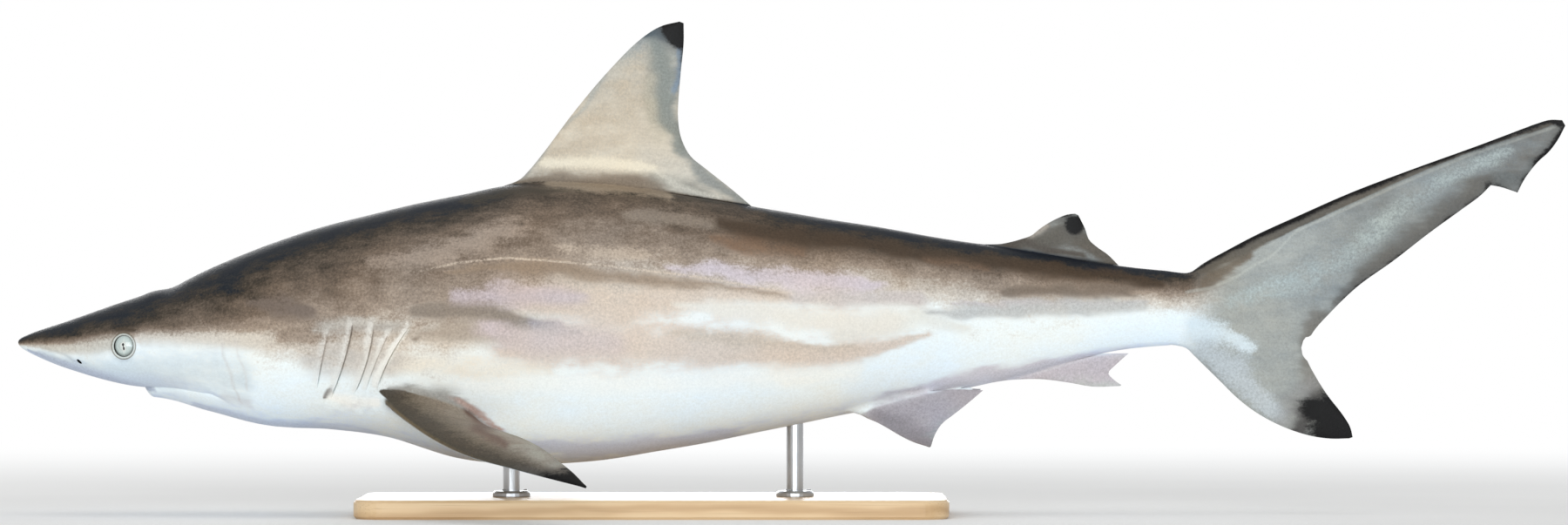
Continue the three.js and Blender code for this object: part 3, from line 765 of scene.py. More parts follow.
# %% [markdown]
# ## Mouth
#
# The mouth of a shark is a wide arch under the head, closed here. From the side it shows as one thin line
# with the lip of the lower jaw bulging under it. The jaw is a second swelling joined to the head, and the
# line of the mouth is then cut along its rim with a thin wedge. The wedge follows the arch in space and
# points straight into the skin at every place, so the groove is as narrow and deep at the corners as in
# front.

# %% Lower jaw and the line of the mouth
MOUTH_FRONT = 121
MOUTH_CORNER = 185
MOUTH_HALF_WIDTH = 53
JAW_DROP = 8.8  # how far the lower lip hangs under the snout
JAW_FULL = 150  # from here back the jaw runs out into the throat
JAW_RIM_SUNK = 1.4  # its rim lies under the skin, so that no ridge is left where it runs out
THROAT = 250
MOUTH_FULLNESS = 0.42  # how soon the arch of the mouth widens behind its front
MOUTH_GAP = 0.9
MOUTH_GROOVE = 4.5


def jaw_swelling():
    places = np.concatenate([np.arange(121.5, 128, 0.7), np.arange(128, 190, 1.8), np.arange(190, 251, 3)])
    places = places[:, None]
    turn = np.pi * np.arange(61)[None, :] / 60
    arch = np.clip((places - MOUTH_FRONT) / (MOUTH_CORNER - MOUTH_FRONT), 0, 1)
    drop = JAW_DROP * np.sqrt(smooth(0, 9, places - MOUTH_FRONT)) * (1 - smooth(JAW_FULL, THROAT, places))
    y = -MOUTH_HALF_WIDTH * arch**MOUTH_FULLNESS * np.cos(turn)
    x = np.broadcast_to(places, y.shape)
    lower = underside(x, y) + JAW_RIM_SUNK - (drop + JAW_RIM_SUNK) * np.sin(turn) ** 0.7
    upper = underside(x, y) + 6
    hanging = np.stack([x, y, lower], -1)
    inside = np.stack([x, y, upper], -1)[:, ::-1]
    return np.concatenate([hanging, inside], axis=1)


def mouth_groove():
    """A thin wedge along the arch of the mouth, from one corner round the front to the other."""
    share = np.linspace(-1, 1, 181)[:, None]
    y = MOUTH_HALF_WIDTH * share
    x = MOUTH_FRONT + (MOUTH_CORNER - MOUTH_FRONT) * np.abs(share) ** (1 / MOUTH_FULLNESS)
    rim = np.stack([x, y, underside(x, y)], -1)
    out = outward(rim)
    run = np.gradient(rim, axis=0)
    across = np.cross(run, out)
    across /= np.linalg.norm(across, axis=-1, keepdims=True)
    half = (MOUTH_GAP / 2) * (0.25 + 0.75 * np.sqrt(1 - np.abs(share[..., None]) ** 6))
    outer = rim + 1.6 * out
    inner = rim - MOUTH_GROOVE * out
    return np.concatenate([outer - half * across, outer + half * across,
                           inner + 0.4 * half * across, inner - 0.4 * half * across], axis=1)


combine(skin, solid("jaw", *loft(jaw_swelling())), "UNION")
x, _, z = in_body(vertices_of(skin.data)).T
rim = (x > 190) & (x < 262) & (z < 0)
relax(skin.data, rim * smooth(186, 205, x), 8)
combine(skin, solid("mouth groove", *loft(mouth_groove())), "DIFFERENCE")
print("mouth:", MOUTH_CORNER - MOUTH_FRONT, "mm from front to corner")

# %% [markdown]
# ## Nostrils, eye sockets and the free tips of the fins
#
# The nostril is a short slot. The socket is a round hole a little wider than the eye, and the eyelids are a
# soft ring round it. Behind each fin on the midline the rear tip is free of the body, so a thin sheet that
# follows the back is cut out under it.

# %% Cutting tools
NOSTRIL_SIZE = (3.1, 7, 1.3)
NOSTRIL_TILT = math.pi / 4
SOCKET_RADIUS = 9.4
SOCKET_INWARD, SOCKET_OUTWARD = 9, 6  # from the widest place of the head at the eye
BESIDE_HEAD = 60.0  # a distance from the middle at which the relief round the eye counts in full
GAP_FROM, GAP_TO = 0.5, 14  # the width of a gap under a free tip, from the middle out
# distance out from the middle of the eye, and height above the head, round the section of the lid
EYELID = [
    (9.3, -6), (9.25, -1.2), (9.35, -0.1), (9.8, 0.7), (10.5, 1.05), (11.3, 0.95), (12.2, 0.5),
    (13.2, 0.05), (14.2, -0.3), (14.4, -1.6), (12, -6),
]


def ball(radii, centre, tilt=0.0, rounds=48):
    """An ellipsoid, tilted in the side view."""
    down = np.pi * (np.arange(1, rounds // 2) / (rounds // 2))
    across, turn = np.meshgrid(down, 2 * np.pi * np.arange(rounds) / rounds, indexing="ij")
    x = radii[0] * np.sin(across) * np.cos(turn)
    z = radii[2] * np.sin(across) * np.sin(turn)
    y = radii[1] * np.cos(across)
    cos, sin = math.cos(tilt), math.sin(tilt)
    return np.stack([cos * x + sin * z, y, cos * z - sin * x], -1) + centre


def rod_across(radii, y_from, y_to, centre, rounds=72):
    """A short oval rod that runs from side to side."""
    turn = 2 * np.pi * np.arange(rounds) / rounds
    ring = np.stack([radii[0] * np.cos(turn), 0 * turn, radii[1] * np.sin(turn)], -1)
    return np.stack([ring + (centre[0], y, centre[1]) for y in (y_from, y_to)])


def gap_under_tip(start, end, height, gap, side):
    """A thin sheet between a free rear tip and the body, closed to an edge at its front."""
    x = np.linspace(start, end, 24)[:, None]
    y = side * np.linspace(GAP_FROM, GAP_TO, 9)[None, ::side]
    level = height(x) - 0.004 * y**2
    thick = gap * np.sqrt((x - start) / (end - start)) + 0.05
    low = np.stack([x + 0 * y, y + 0 * x, level], -1)
    high = np.stack([x + 0 * y, y + 0 * x, level + thick], -1)
    return np.concatenate([low, high[:, ::-1]], axis=1)


for side in (LEFT, RIGHT):
    x, y, z = NOSTRIL
    slot = ball(NOSTRIL_SIZE, (x, side * y, z), NOSTRIL_TILT)
    combine(skin, solid("slot", *loft(slot)), "DIFFERENCE")
    widest = float(section(EYE_X)[2])
    deep, shallow = side * (widest - SOCKET_INWARD), side * (widest + SOCKET_OUTWARD)
    socket = rod_across((SOCKET_RADIUS, SOCKET_RADIUS * EYE_TALL), deep, shallow, (EYE_X, EYE_Z))
    combine(skin, solid("socket", *loft(socket)), "DIFFERENCE")


def eyelid(side):
    """A soft raised ring round the eye, closed on itself, that follows the slope of the head."""
    turn = 2 * np.pi * np.arange(96)[:, None] / 96
    out, height = np.transpose(EYELID)
    x = EYE_X + out * np.cos(turn)
    z = EYE_Z + out * EYE_TALL * np.sin(turn)
    surface = half_width_at(x, z) + head_relief(x, np.full_like(x, BESIDE_HEAD), z)
    return np.stack([x, side * (surface + height), z], -1)


def wrapped(rings):
    """Points and faces of a closed band that meets itself, with no ends."""
    rows, count = rings.shape[:2]
    row, column = np.meshgrid(np.arange(rows), np.arange(count), indexing="ij")
    next_row, next_column = (row + 1) % rows, (column + 1) % count
    a, b = row * count + column, row * count + next_column
    c, d = next_row * count + next_column, next_row * count + column
    return rings.reshape(-1, 3), np.stack([a, b, c, a, c, d], -1).reshape(-1, 3).tolist()


for side in (LEFT, RIGHT):
    combine(skin, solid("eyelid", *wrapped(eyelid(side))), "UNION")

# first x, last x, height of the sheet, its thickness at the rear
FREE_TIPS = [
    (616, 712, lambda x: section(x)[0] - 0.3, 0.8),
    (992, 1056, lambda x: section(x)[0] - 0.2, 0.7),
    (1004, 1066, lambda x: section(x)[1] - 0.4, 0.6),
]
for (start, end, height, gap), side in itertools.product(FREE_TIPS, (LEFT, RIGHT)):
    combine(skin, solid("gap", *loft(gap_under_tip(start, end, height, gap, side))), "DIFFERENCE")
print("cut: 2 nostrils, 2 eye sockets,", len(FREE_TIPS), "free tips")
skin.data.calc_loop_triangles()
print("skin:", len(skin.data.loop_triangles), "triangles,", round(enclosed(skin.data) * 1000, 2), "litres")

# %% [markdown]
# ## Helpers for node materials
#
# The materials are written as sums and products of signals, the outputs of nodes. Each step adds one node,
# so the code reads like the recipe of a paint. Colours are everyday numbers from 0 to 255, turned into the
# linear ones that the shader wants.

# %% Node helpers
def colour(red, green, blue):
    def linear(value):
        value /= 255
        return value / 12.92 if value <= 0.04045 else ((value + 0.055) / 1.055) ** 2.4

    return (linear(red), linear(green), linear(blue), 1.0)


def feed(made, inputs):
    """Gives a node its inputs: a dict of socket name or number to a plain value or a signal."""
    for key, value in dict(inputs).items():
        if isinstance(value, Signal):
            made.id_data.links.new(value.socket, made.inputs[key])
        else:
            made.inputs[key].default_value = value


def node(tree, kind, inputs=(), **settings):
    made = tree.nodes.new(kind)
    for key, value in settings.items():
        setattr(made, key, value)
    feed(made, inputs)
    return made


class Signal:
    """An output of a node. Each sum, product or other step on it adds a node to its tree."""

    def __init__(self, made, key=0):
        self.socket = made.outputs[key]

    def step(self, kind, inputs, key=0, **settings):
        return Signal(node(self.socket.id_data, kind, inputs, **settings), key)

    def maths(self, operation, a, b=0.0):
        return self.step("ShaderNodeMath", {0: a, 1: b}, operation=operation)

    def __abs__(self):
        return self.maths("ABSOLUTE", self)

    def smaller(self, other):
        return self.maths("MINIMUM", self, other)

    def larger(self, other):
        return self.maths("MAXIMUM", self, other)

    def vector(self, operation, other=(0, 0, 0), key=0):
        return self.step("ShaderNodeVectorMath", {0: self, 1: other}, key, operation=operation)

    def length(self):
        return self.vector("LENGTH", key="Value")

    def fade(self, low, high):
        """0 at low, 1 at high, and an S curve between."""
        return self.step("ShaderNodeMapRange", {0: self, 1: low, 2: high}, interpolation_type="SMOOTHSTEP")

    def noise(self, scale, detail, roughness=0.5, seed=None):
        """Noise at this place. With a seed, other seeds give other patterns."""
        inputs = {"Vector": self, "Scale": scale, "Detail": detail, "Roughness": roughness}
        if seed is None:
            return self.step("ShaderNodeTexNoise", inputs)
        return self.step("ShaderNodeTexNoise", inputs | {"W": seed}, noise_dimensions="4D")

    def mixed(self, amount, other, blend="MIX"):
        """This colour with an amount of another, a signal or a colour from 0 to 255, laid over it."""
        if isinstance(other, tuple):
            other = colour(*other)
        inputs = {0: amount, 6: self, 7: other}
        return self.step("ShaderNodeMix", inputs, 2, data_type="RGBA", blend_type=blend)

    def ramp(self, stops):
        """A colour for this number, from stops of (number, colour from 0 to 255)."""
        made = node(self.socket.id_data, "ShaderNodeValToRGB", {0: self})
        elements = made.color_ramp.elements
        while len(elements) < len(stops):
            elements.new(1)
        for element, (place, rgb) in zip(elements, stops):
            element.position = place
            element.color = colour(*rgb)
        return Signal(made)

    def bumps(self, strength, distance):
        """A bump for a shader's normal, with this number as its height."""
        return self.step("ShaderNodeBump", {"Strength": strength, "Distance": distance, "Height": self})


for sign, operation in (("add", "ADD"), ("sub", "SUBTRACT"), ("mul", "MULTIPLY"), ("truediv", "DIVIDE")):
    setattr(Signal, f"__{sign}__", lambda self, other, made=operation: self.maths(made, self, other))
    setattr(Signal, f"__r{sign}__", lambda self, other, made=operation: self.maths(made, other, self))


def guide(tree, name, key="Fac"):
    """A value that the points of the mesh carry."""
    return Signal(node(tree, "ShaderNodeAttribute", attribute_name=name), key)


def object_place(tree):
    return Signal(node(tree, "ShaderNodeTexCoord"), "Object")


def new_material(name):
    made = bpy.data.materials.new(name)
    made.use_nodes = True
    return made, made.node_tree, made.node_tree.nodes["Principled BSDF"]


# %% [markdown]
# ## Guides for the painter
#
# A taxidermist paints a cast shark in passes with an airbrush: a white belly, a warm tan band, a brown
# back, a slate ridge, black tips. Each pass follows a line on the fish. Here those lines are drawn once, in
# body measures, and every point of the skin learns where it lies between them. The material then turns
# these guides into colour and breaks up their edges with fine noise, so the markings stay soft and sharp
# where they should at any distance.

# %% Lines of the markings
# Heights of the lines between the tones of the flank, from the back down, by distance from the snout.
TONE_LINES = {
    "foot of the slate": [
        (0, 0), (36, 6), (62, 7), (87, 14), (124, 20), (155, 31), (188, 44), (221, 59), (288, 91),
        (362, 110), (452, 130), (480, 154), (640, 154), (690, 127), (746, 110), (845, 94), (944, 80),
        (1044, 62), (1094, 60), (1120, 66), (1150, 80), (1180, 97), (1230, 121),
    ],
    "foot of the dark brown": [
        (0, -1), (36, 1), (87, 8), (124, 12), (155, 16), (188, 19), (221, 23), (255, 36), (288, 49),
        (321, 65), (362, 90), (452, 112), (550, 119), (648, 106), (746, 87), (845, 80), (944, 65),
        (1044, 57), (1094, 50), (1120, 54), (1140, 62), (1180, 90), (1230, 118),
    ],
    "foot of the brown": [
        (0, -2), (36, -1.5), (62, 0), (87, 4), (124, 9), (155, 8), (188, 11), (221, 12), (255, 5), (288, 2),
        (321, 13), (362, 28), (452, 44), (550, 84), (648, 80), (746, 72), (845, 66), (944, 48), (1044, 49),
        (1094, 44), (1120, 48), (1145, 56), (1180, 84), (1230, 115),
    ],
    "foot of the tan": [
        (0, -2.5), (36, -4), (62, -3), (87, -1), (124, 6), (155, 5), (188, 4), (221, 3), (255, -5),
        (288, -6), (321, -5), (362, -3), (452, 9), (501, 35), (550, 53), (648, 53), (746, 51), (845, 50),
        (944, 34), (1044, 42), (1094, 37), (1120, 38), (1150, 48), (1180, 70), (1230, 100),
    ],
    "top of the white": [
        (0, -3.5), (36, -9), (62, -13), (87, -9), (124, 2), (155, 2), (188, -2), (221, -7), (255, -21),
        (288, -31), (321, -36), (362, -37), (452, -11), (517, 18), (550, 35), (648, 36), (746, 35),
        (845, 32), (944, 21), (1044, 29), (1094, 28), (1120, 26), (1160, 20), (1230, 20),
    ],
}


def tone_of(x, z):
    """0 on the ridge of the back, one more at each line below it, and 6 on the belly."""
    back, belly = section(x)[:2]
    levels = [np.maximum(back, line_height(TONE_LINES["foot of the slate"], x) + 4)]
    for line in TONE_LINES.values():
        levels.append(np.minimum(line_height(line, x), levels[-1] - 0.8))
    levels.append(np.minimum(belly, levels[-1] - 1))
    return sum(np.clip((high - z) / (high - low), 0, 1) for high, low in zip(levels, levels[1:]))


def to_line(points, line):
    """The shortest distance from each point to a broken line, and how far along it that is, from 0 to 1."""
    nearest = np.full(len(points), np.inf)
    place = np.zeros(len(points))
    for i, (a, b) in enumerate(zip(line, line[1:])):
        span = b - a
        t = np.clip((points - a) @ span / max(span @ span, 1e-12), 0, 1)
        away = np.linalg.norm(points - a - t[:, None] * span, axis=1)
        place = np.where(away < nearest, (i + t) / (len(line) - 1), place)
        nearest = np.minimum(nearest, away)
    return nearest, place


def stroke(flat, core):
    """1 on a brush stroke in the side view. core is a row of (x, z, half width)."""
    core = np.array(core, float)
    away, place = to_line(flat, core[:, :2])
    half = np.interp(place, np.linspace(0, 1, len(core)), core[:, 2])
    return np.exp(-np.abs(away / half) ** 2.4)


def brushed(points, amount):
    """The side view with wavy streaks in it, so that no stroke has a ruled edge."""
    streaks = points / (2.4, 1.0, 1.0)
    away = 7.0 * lumps(streaks, 38, 31) + 3.6 * lumps(streaks, 14, 32) + 1.8 * lumps(streaks, 6, 33)
    up = 3.5 * lumps(streaks, 30, 34) + 3.2 * lumps(streaks, 12, 35) + 1.8 * lumps(streaks, 5, 36)
    return points[:, ::2] + np.column_stack([2.2 * away, up]) * np.reshape(amount, (-1, 1))


def front_margin(name):
    return fins[name][:, 0]


def rear_margin(name):
    return fins[name][:, (fins[name].shape[1] + 1) // 2]


# %% [markdown]
# ## Washes
#
# Between the main tones lie the marks that make this one animal: the tan band low on the flank with its
# darker upper edge, the brown streak along the side furrow, pale skin round the gills, a cream band at the
# foot of the dorsal fin, pink in the pits of the fins. With them lies painted light: lilac sheens on the
# flank, painted shade in the furrow, on the lower head, under the snout, the throat, the belly and the stalk,
# in the hollows of the gills and along the roots of the fins, and a painted highlight on the folds under the
# gills.
# Each is one airbrush stroke, with a colour, a strength and the line that it follows, as (x, z, half width).
# Strokes are laid in order, later ones over earlier ones. The broad washes of the body have wavy edges, the
# close washes are finer, and each fin has washes of its own.

# %% Washes of the body
BODY_WASHES = [
    ("cream on the flank", (204, 184, 165), 0.9, [(470, 46, 8), (530, 37, 22), (580, 33, 22), (640, 42, 10)]),
    ("cream below the gills", (230, 222, 208), 0.7, [(360, -24, 8), (410, -22, 12), (510, -26, 8)]),
    ("beige behind the gills", (168, 154, 140), 0.85,
     [(384, 8, 6), (410, 12, 13), (455, 12, 10), (475, 5, 7)]),
    ("painted lilac sheen below the furrow", (190, 176, 180), 0.85,
     # painted sheen: the lilac washes on the flank stand for a sheen on the skin
     [(415, 45, 7), (470, 45, 12), (525, 44, 9), (545, 42, 5)]),
    ("grey streak", (134, 122, 110), 0.95,
     [(375, 33, 5), (410, 33, 8), (445, 30, 8), (478, 20, 6), (508, 15, 4)]),
    ("blue end of the grey streak", (152, 146, 154), 0.9, [(492, 18, 5), (530, 12, 3)]),
    ("pink below the streak", (208, 193, 198), 0.85, [(438, 15, 6), (470, 12, 6)]),
    ("tan band", (207, 190, 176), 0.92,
     [(465, -6, 11), (520, -4, 20), (560, -2, 26), (623, -5, 21), (672, -8, 18), (713, -11, 16),
      (754, -13, 14), (807, -8, 11), (850, 1, 6), (868, 6, 4)]),
    # painted sheen
    ("painted lilac sheen on the band", (196, 180, 180), 0.6, [(460, 2, 8), (520, 2, 16), (570, 0, 12)]),
    ("warm white of the stalk", (219, 217, 209), 0.7,
     [(782, 8, 8), (815, 16, 12), (860, 24, 12), (900, 12, 8)]),
    ("dark edge of the band", (184, 168, 150), 0.65,
     [(632, 10, 3), (656, 7, 6), (685, 4, 7), (713, 2, 6), (746, -2, 5), (800, -3, 3)]),
    ("warm end of the band", (206, 187, 170), 0.5, [(690, -10, 5), (740, -9, 7), (800, -7, 5)]),
    ("white above the band", (228, 225, 216), 0.85,
     [(625, 34, 4), (672, 27, 8), (754, 22, 11), (835, 20, 11)]),
    ("cream above the white", (208, 192, 177), 0.9, [(600, 44, 6), (672, 43, 8), (728, 43, 8)]),
    # painted sheen
    ("painted lilac sheen beside the furrow's end", (193, 184, 181), 0.85, [(738, 43, 7), (780, 44, 9), (860, 42, 7)]),
    ("white below the band", (240, 242, 239), 0.7,
     [(400, -42, 6), (500, -40, 9), (640, -36, 10), (800, -30, 10)]),
    # painted sheen
    ("painted lilac sheen above the furrow", (203, 191, 197), 0.85,
     [(606, 72, 3), (656, 69, 8), (713, 63, 10), (775, 58, 10), (815, 55, 5)]),
    # partly painted shade: the brown streak is darkened where it lies in the groove of the furrow
    ("brown streak and painted shade in the furrow", (146, 127, 108), 0.85,
     [(400, 66, 3), (468, 71, 7), (517, 69, 7), (574, 63, 7), (648, 55, 5), (697, 48, 4), (730, 43, 2)]),
    ("beige over the furrow", (160, 143, 128), 0.75,
     [(326, 76, 6), (400, 84, 9), (440, 94, 11), (486, 107, 13)]),
    ("tan over the furrow", (188, 170, 152), 0.7, [(515, 86, 4), (550, 85, 8), (592, 84, 5)]),
    ("shade before the gills", (112, 99, 90), 0.75, [(226, 38, 5), (258, 34, 12), (284, 30, 7)]),
    ("dark foot of the back", (70, 56, 43), 0.85,
     [(662, 114, 5), (704, 106, 10), (800, 93, 11), (900, 81, 9), (1000, 68, 8), (1090, 58, 6)]),
    ("rust on the back", (122, 96, 76), 0.6, [(655, 100, 5), (690, 93, 10), (745, 86, 7)]),
    ("beige under the fin", (140, 126, 112), 0.85, [(580, 116, 6), (622, 119, 10), (655, 112, 6)]),
    ("dark before the fin", (64, 57, 46), 0.6, [(430, 136, 5), (478, 144, 8), (508, 143, 4)]),
    ("rust on the tail stalk", (128, 102, 82), 0.45, [(868, 80, 4), (900, 74, 7), (930, 70, 4)]),
    ("line of the stalk", (192, 182, 182), 0.75,
     [(890, 37, 2), (973, 36, 3.4), (1035, 35, 3.4), (1080, 38, 2)]),
    ("shade of the belly", (204, 211, 230), 0.75,
     [(478, -98, 6), (549, -99, 10), (610, -96, 9), (680, -88, 5)]),
    ("tan glaze of the flank", (213, 196, 181), 0.2,
     [(560, 26, 30), (650, 24, 34), (750, 20, 32), (825, 16, 18)]),
    # painted shade: a grey-lilac band along the lower edge of the tail stalk
    ("painted shade along the underside of the stalk", (206, 200, 207), 0.7,
     [(862, -50, 5), (920, -28, 8), (1000, -21, 8), (1060, -12, 5)]),
    ("shade over the pelvic fin", (190, 185, 190), 0.8, [(806, -64, 5), (832, -58, 9), (866, -47, 7)]),
    ("shade over the anal fin", (198, 190, 196), 0.8, [(926, -34, 6), (972, -26, 8), (1012, -18, 5)]),
    ("grey of the stalk", (184, 184, 182), 0.85, [(868, 30, 4), (925, 29, 7), (1000, 31, 9), (1075, 34, 7)]),
    ("dusk of the stalk", (118, 105, 93), 0.8, [(945, 46, 4), (1000, 48, 7), (1065, 49, 6)]),
    ("beige of the throat", (214, 210, 204), 0.4, [(200, -50, 5), (226, -57, 5)]),
    ("scuffed skin of the gills", (166, 159, 151), 0.75, [(292, 16, 7), (330, 18, 8), (356, 14, 7)]),
    ("skin of the gills", (192, 185, 178), 0.75,
     [(284, -14, 14), (312, -12, 20), (336, -16, 20), (352, -20, 14)]),
]
CLOSE_WASHES = [
    ("pale ridge under the fin", (156, 140, 121), 0.95,
     [(505, 151, 4), (545, 149, 7), (600, 146, 7), (620, 139, 5)]),
    # partly painted shade: the white of the lower head, made cooler and darker
    ("white of the head, cooled by painted shade", (208, 218, 223), 0.75,
     [(24, -10, 3), (60, -22, 8), (100, -25, 14), (155, -24, 20), (215, -30, 20)]),
    ("beige of the snout", (196, 190, 178), 0.75, [(28, -5, 2.5), (52, -7, 5), (74, -6, 7), (98, -1, 8)]),
    ("beige behind the eye", (206, 198, 187), 0.7, [(124, 3, 6), (160, 3, 7), (205, 3, 8), (245, 2, 9)]),
    # painted shade: bluish grey under the ridge along the edge of the snout
    ("painted shade under the edge of the snout", (168, 176, 196), 0.75,
     [(14, -8, 1.5), (40, -18, 4), (62, -27, 5), (88, -35, 5), (112, -41, 4), (132, -45, 3)]),
    ("shade over the eye", (74, 62, 50), 0.9, [(100, 12, 2.5), (108, 13, 3), (117, 11, 2)]),
    # partly painted highlight: brighter white on the folds under the gills, over white skin
    ("painted highlight on the folds under the gills", (246, 245, 240), 0.9, [(300, -51, 4), (321, -56, 7), (345, -55, 5)]),
    ("scuffs over the gills", (208, 204, 196), 0.4,
     [(288, 13, 2), (321, 20, 3), (343, 23, 3.5), (377, 20, 4.5), (404, 15, 3)]),
    ("pale edge of the last gill", (238, 237, 231), 0.9,
     [(344, -40, 2.5), (351, -20, 3), (364, -2, 3), (372, 8, 2)]),
    # painted shadow: dark brown at the top of the last gill slit, under its flap
    ("painted shadow at the top of the last gill", (130, 116, 102), 0.85, [(372, 8, 2), (383, 5, 3.4)]),
    # painted shade: grey along the root of the pectoral fin, where it joins the body
    ("painted shade along the root of the pectoral fin", (138, 134, 127), 0.9,
     [(356, -43, 3), (384, -46, 8), (410, -53, 12), (434, -64, 9)]),
    ("pink of the fin pit", (178, 146, 134), 0.85,
     [(420, -52, 2), (434, -59, 3.5), (450, -70, 4), (466, -83, 2.5)]),
    # painted shade: dark in the pocket at the foot of the second gill slit
    ("painted shade in the pocket of the second slit", (84, 74, 67), 0.9, [(296.5, -52, 1.2), (299, -48, 2.2), (302, -44.5, 2.6)]),
    ("wrinkle of the throat", (198, 192, 188), 0.35,
     [(201, 4, 1), (204, -19, 1.5), (210, -39, 1.3), (218, -56, 1)]),
    ("second wrinkle", (204, 198, 194), 0.3, [(214, 2, 1), (217, -16, 1.4), (224, -44, 1)]),
    # painted shade: bluish grey along the underside of the throat
    ("painted shade under the throat", (192, 199, 212), 0.7,
     [(170, -60, 4), (240, -80, 6), (290, -85, 9), (335, -93, 8)]),
]

FLAP_PALENESS = (0.3, 0.45, 0.55, 0.5, 0.8)
for slit, strength in zip(GILL_SLITS, FLAP_PALENESS):
    heights = np.linspace(slit["top"][1] + 3, slit["bottom"][1] + 2, 7)
    edge = [(slit_x(slit, height) - 4, height, 2.8) for height in heights]
    CLOSE_WASHES.append(("edge of a gill flap", (232, 231, 226), strength, edge))
FIRST_DORSAL_WASHES = [
    ("beige of the fin", (188, 175, 156), 0.55,
     [(520, 180, 30), (560, 205, 40), (588, 240, 30), (606, 272, 16)]),
    ("brown foot", (122, 108, 93), 0.95,
     [(470, 149, 6), (485, 152, 9), (545, 153, 10), (600, 151, 9), (618, 143, 5)]),
    ("shade of the rear foot", (148, 144, 134), 0.8, [(602, 158, 5), (628, 151, 8), (655, 142, 6)]),
    ("grey rear foot", (140, 143, 140), 0.9,
     [(622, 214, 9), (632, 190, 9), (650, 163, 8), (672, 146, 6), (694, 131, 3)]),
    ("cream band", (234, 225, 205), 0.85, [(496, 171, 4), (546, 171, 7), (592, 167, 6), (604, 165, 3)]),
    ("pale ridge", (212, 206, 192), 0.75, [(604, 162, 3.5), (629, 149, 3.5), (668, 138, 2.5)]),
    ("mottled strip", (128, 134, 130), 0.92,
     [(610, 284, 9), (617, 256, 14), (618, 232, 15), (620, 206, 12), (626, 188, 8)]),
    ("warm rear", (176, 170, 154), 0.6, [(603, 250, 5), (604, 220, 8), (606, 196, 9)]),
    ("blue rear edge", (126, 144, 162), 0.9, [(633, 286, 3), (631, 260, 4), (629, 238, 3)]),
    ("slate below the tip", (74, 86, 93), 0.95, [(600, 292, 4), (613, 297, 8), (626, 288, 5)]),
    ("grey front edge", (166, 168, 164), 0.6, [(478, 158, 2), (530, 220, 2.5), (592, 288, 3)]),
]
SECOND_DORSAL_WASHES = [
    ("whole fin", (88, 83, 75), 0.95,
     [(955, 94, 6), (980, 98, 12), (1003, 104, 18), (1018, 94, 12), (1046, 75, 6)]),
    ("pale front", (172, 164, 155), 0.7, [(966, 101, 2.5), (976, 106, 3), (988, 113, 2.5)]),
    ("brown foot", (76, 68, 60), 0.95,
     [(915, 86, 6), (945, 93, 6), (962, 97, 4), (980, 88, 4), (1010, 82, 3)]),
    ("dark rear tip", (92, 85, 77), 0.9, [(1014, 92, 3), (1026, 85, 4), (1046, 75, 3)]),
]
LOWER_FIN_WASHES = [
    ("pelvic fin", (170, 162, 168), 0.9, [(812, -70, 22), (850, -68, 28), (908, -50, 18)]),
    ("front of the pelvic fin", (134, 127, 132), 0.8, [(812, -70, 7), (842, -84, 13), (862, -94, 10)]),
    ("anal fin", (190, 180, 185), 0.9, [(930, -26, 14), (985, -28, 18), (1052, -24, 18)]),
]
TAIL_WASHES = [
    ("white of the stalk", (216, 227, 232), 0.9,
     [(1095, 16, 15), (1122, 13, 14), (1148, 8, 11), (1168, -4, 7)]),
    ("grey of the lower lobe", (186, 192, 195), 0.85,
     [(1132, -8, 12), (1160, -30, 15), (1186, -54, 12), (1200, -68, 8)]),
    ("pale streak", (172, 183, 183), 0.5,
     [(1160, 36, 8), (1192, 48, 11), (1225, 60, 15), (1256, 77, 15), (1290, 104, 14), (1330, 137, 13),
      (1368, 159, 11), (1420, 181, 8)]),
    ("dusky rear", (100, 98, 94), 0.9,
     [(1252, 36, 7), (1287, 68, 13), (1327, 98, 16), (1368, 128, 14), (1400, 152, 9)]),
    ("dusky fork", (122, 119, 113), 0.8, [(1236, 24, 10), (1227, 0, 11), (1230, -26, 11), (1242, -48, 10)]),
    ("grey before the black tip", (150, 149, 148), 0.6, [(1200, -82, 8), (1213, -60, 11), (1236, -40, 8)]),
    ("dusky before the black tip", (62, 58, 57), 0.9, [(1214, -88, 8), (1228, -71, 12), (1244, -55, 8)]),
    ("dusky terminal lobe", (104, 108, 108), 0.8, [(1412, 154, 8), (1432, 152, 6), (1440, 168, 6)]),
    ("dusky margin", (112, 109, 103), 0.7, [(1262, 34, 4), (1240, 22, 6), (1230, 0, 6)]),
    ("brown root", (108, 96, 82), 0.9, [(1104, 54, 6), (1130, 56, 8), (1156, 68, 8), (1176, 82, 5)]),
]


def washed(flat, washes, tint=0.0, cover=0.0):
    """Lays strokes over each other. Gives the mixed colour and how much of the skin under it is covered."""
    tint = tint + np.zeros((len(flat), 3))
    cover = cover + np.zeros(len(flat))
    for _, rgb, strength, core in washes:
        mask = strength * stroke(flat, core)
        new_cover = mask + cover * (1 - mask)
        blended = mask[:, None] * np.array(colour(*rgb)[:3]) + (cover * (1 - mask))[:, None] * tint
        tint = blended / np.maximum(new_cover, 1e-6)[:, None]
        cover = new_cover
    return tint, cover


# %% Where each point of the skin lies
SCRATCH_LINE = [
    (346, 64), (391, 68), (419, 75), (468, 80.5), (517, 77), (574, 71.5), (599, 68.5), (648, 62.5), (697, 54),
    (725, 48.5), (780, 43),
]
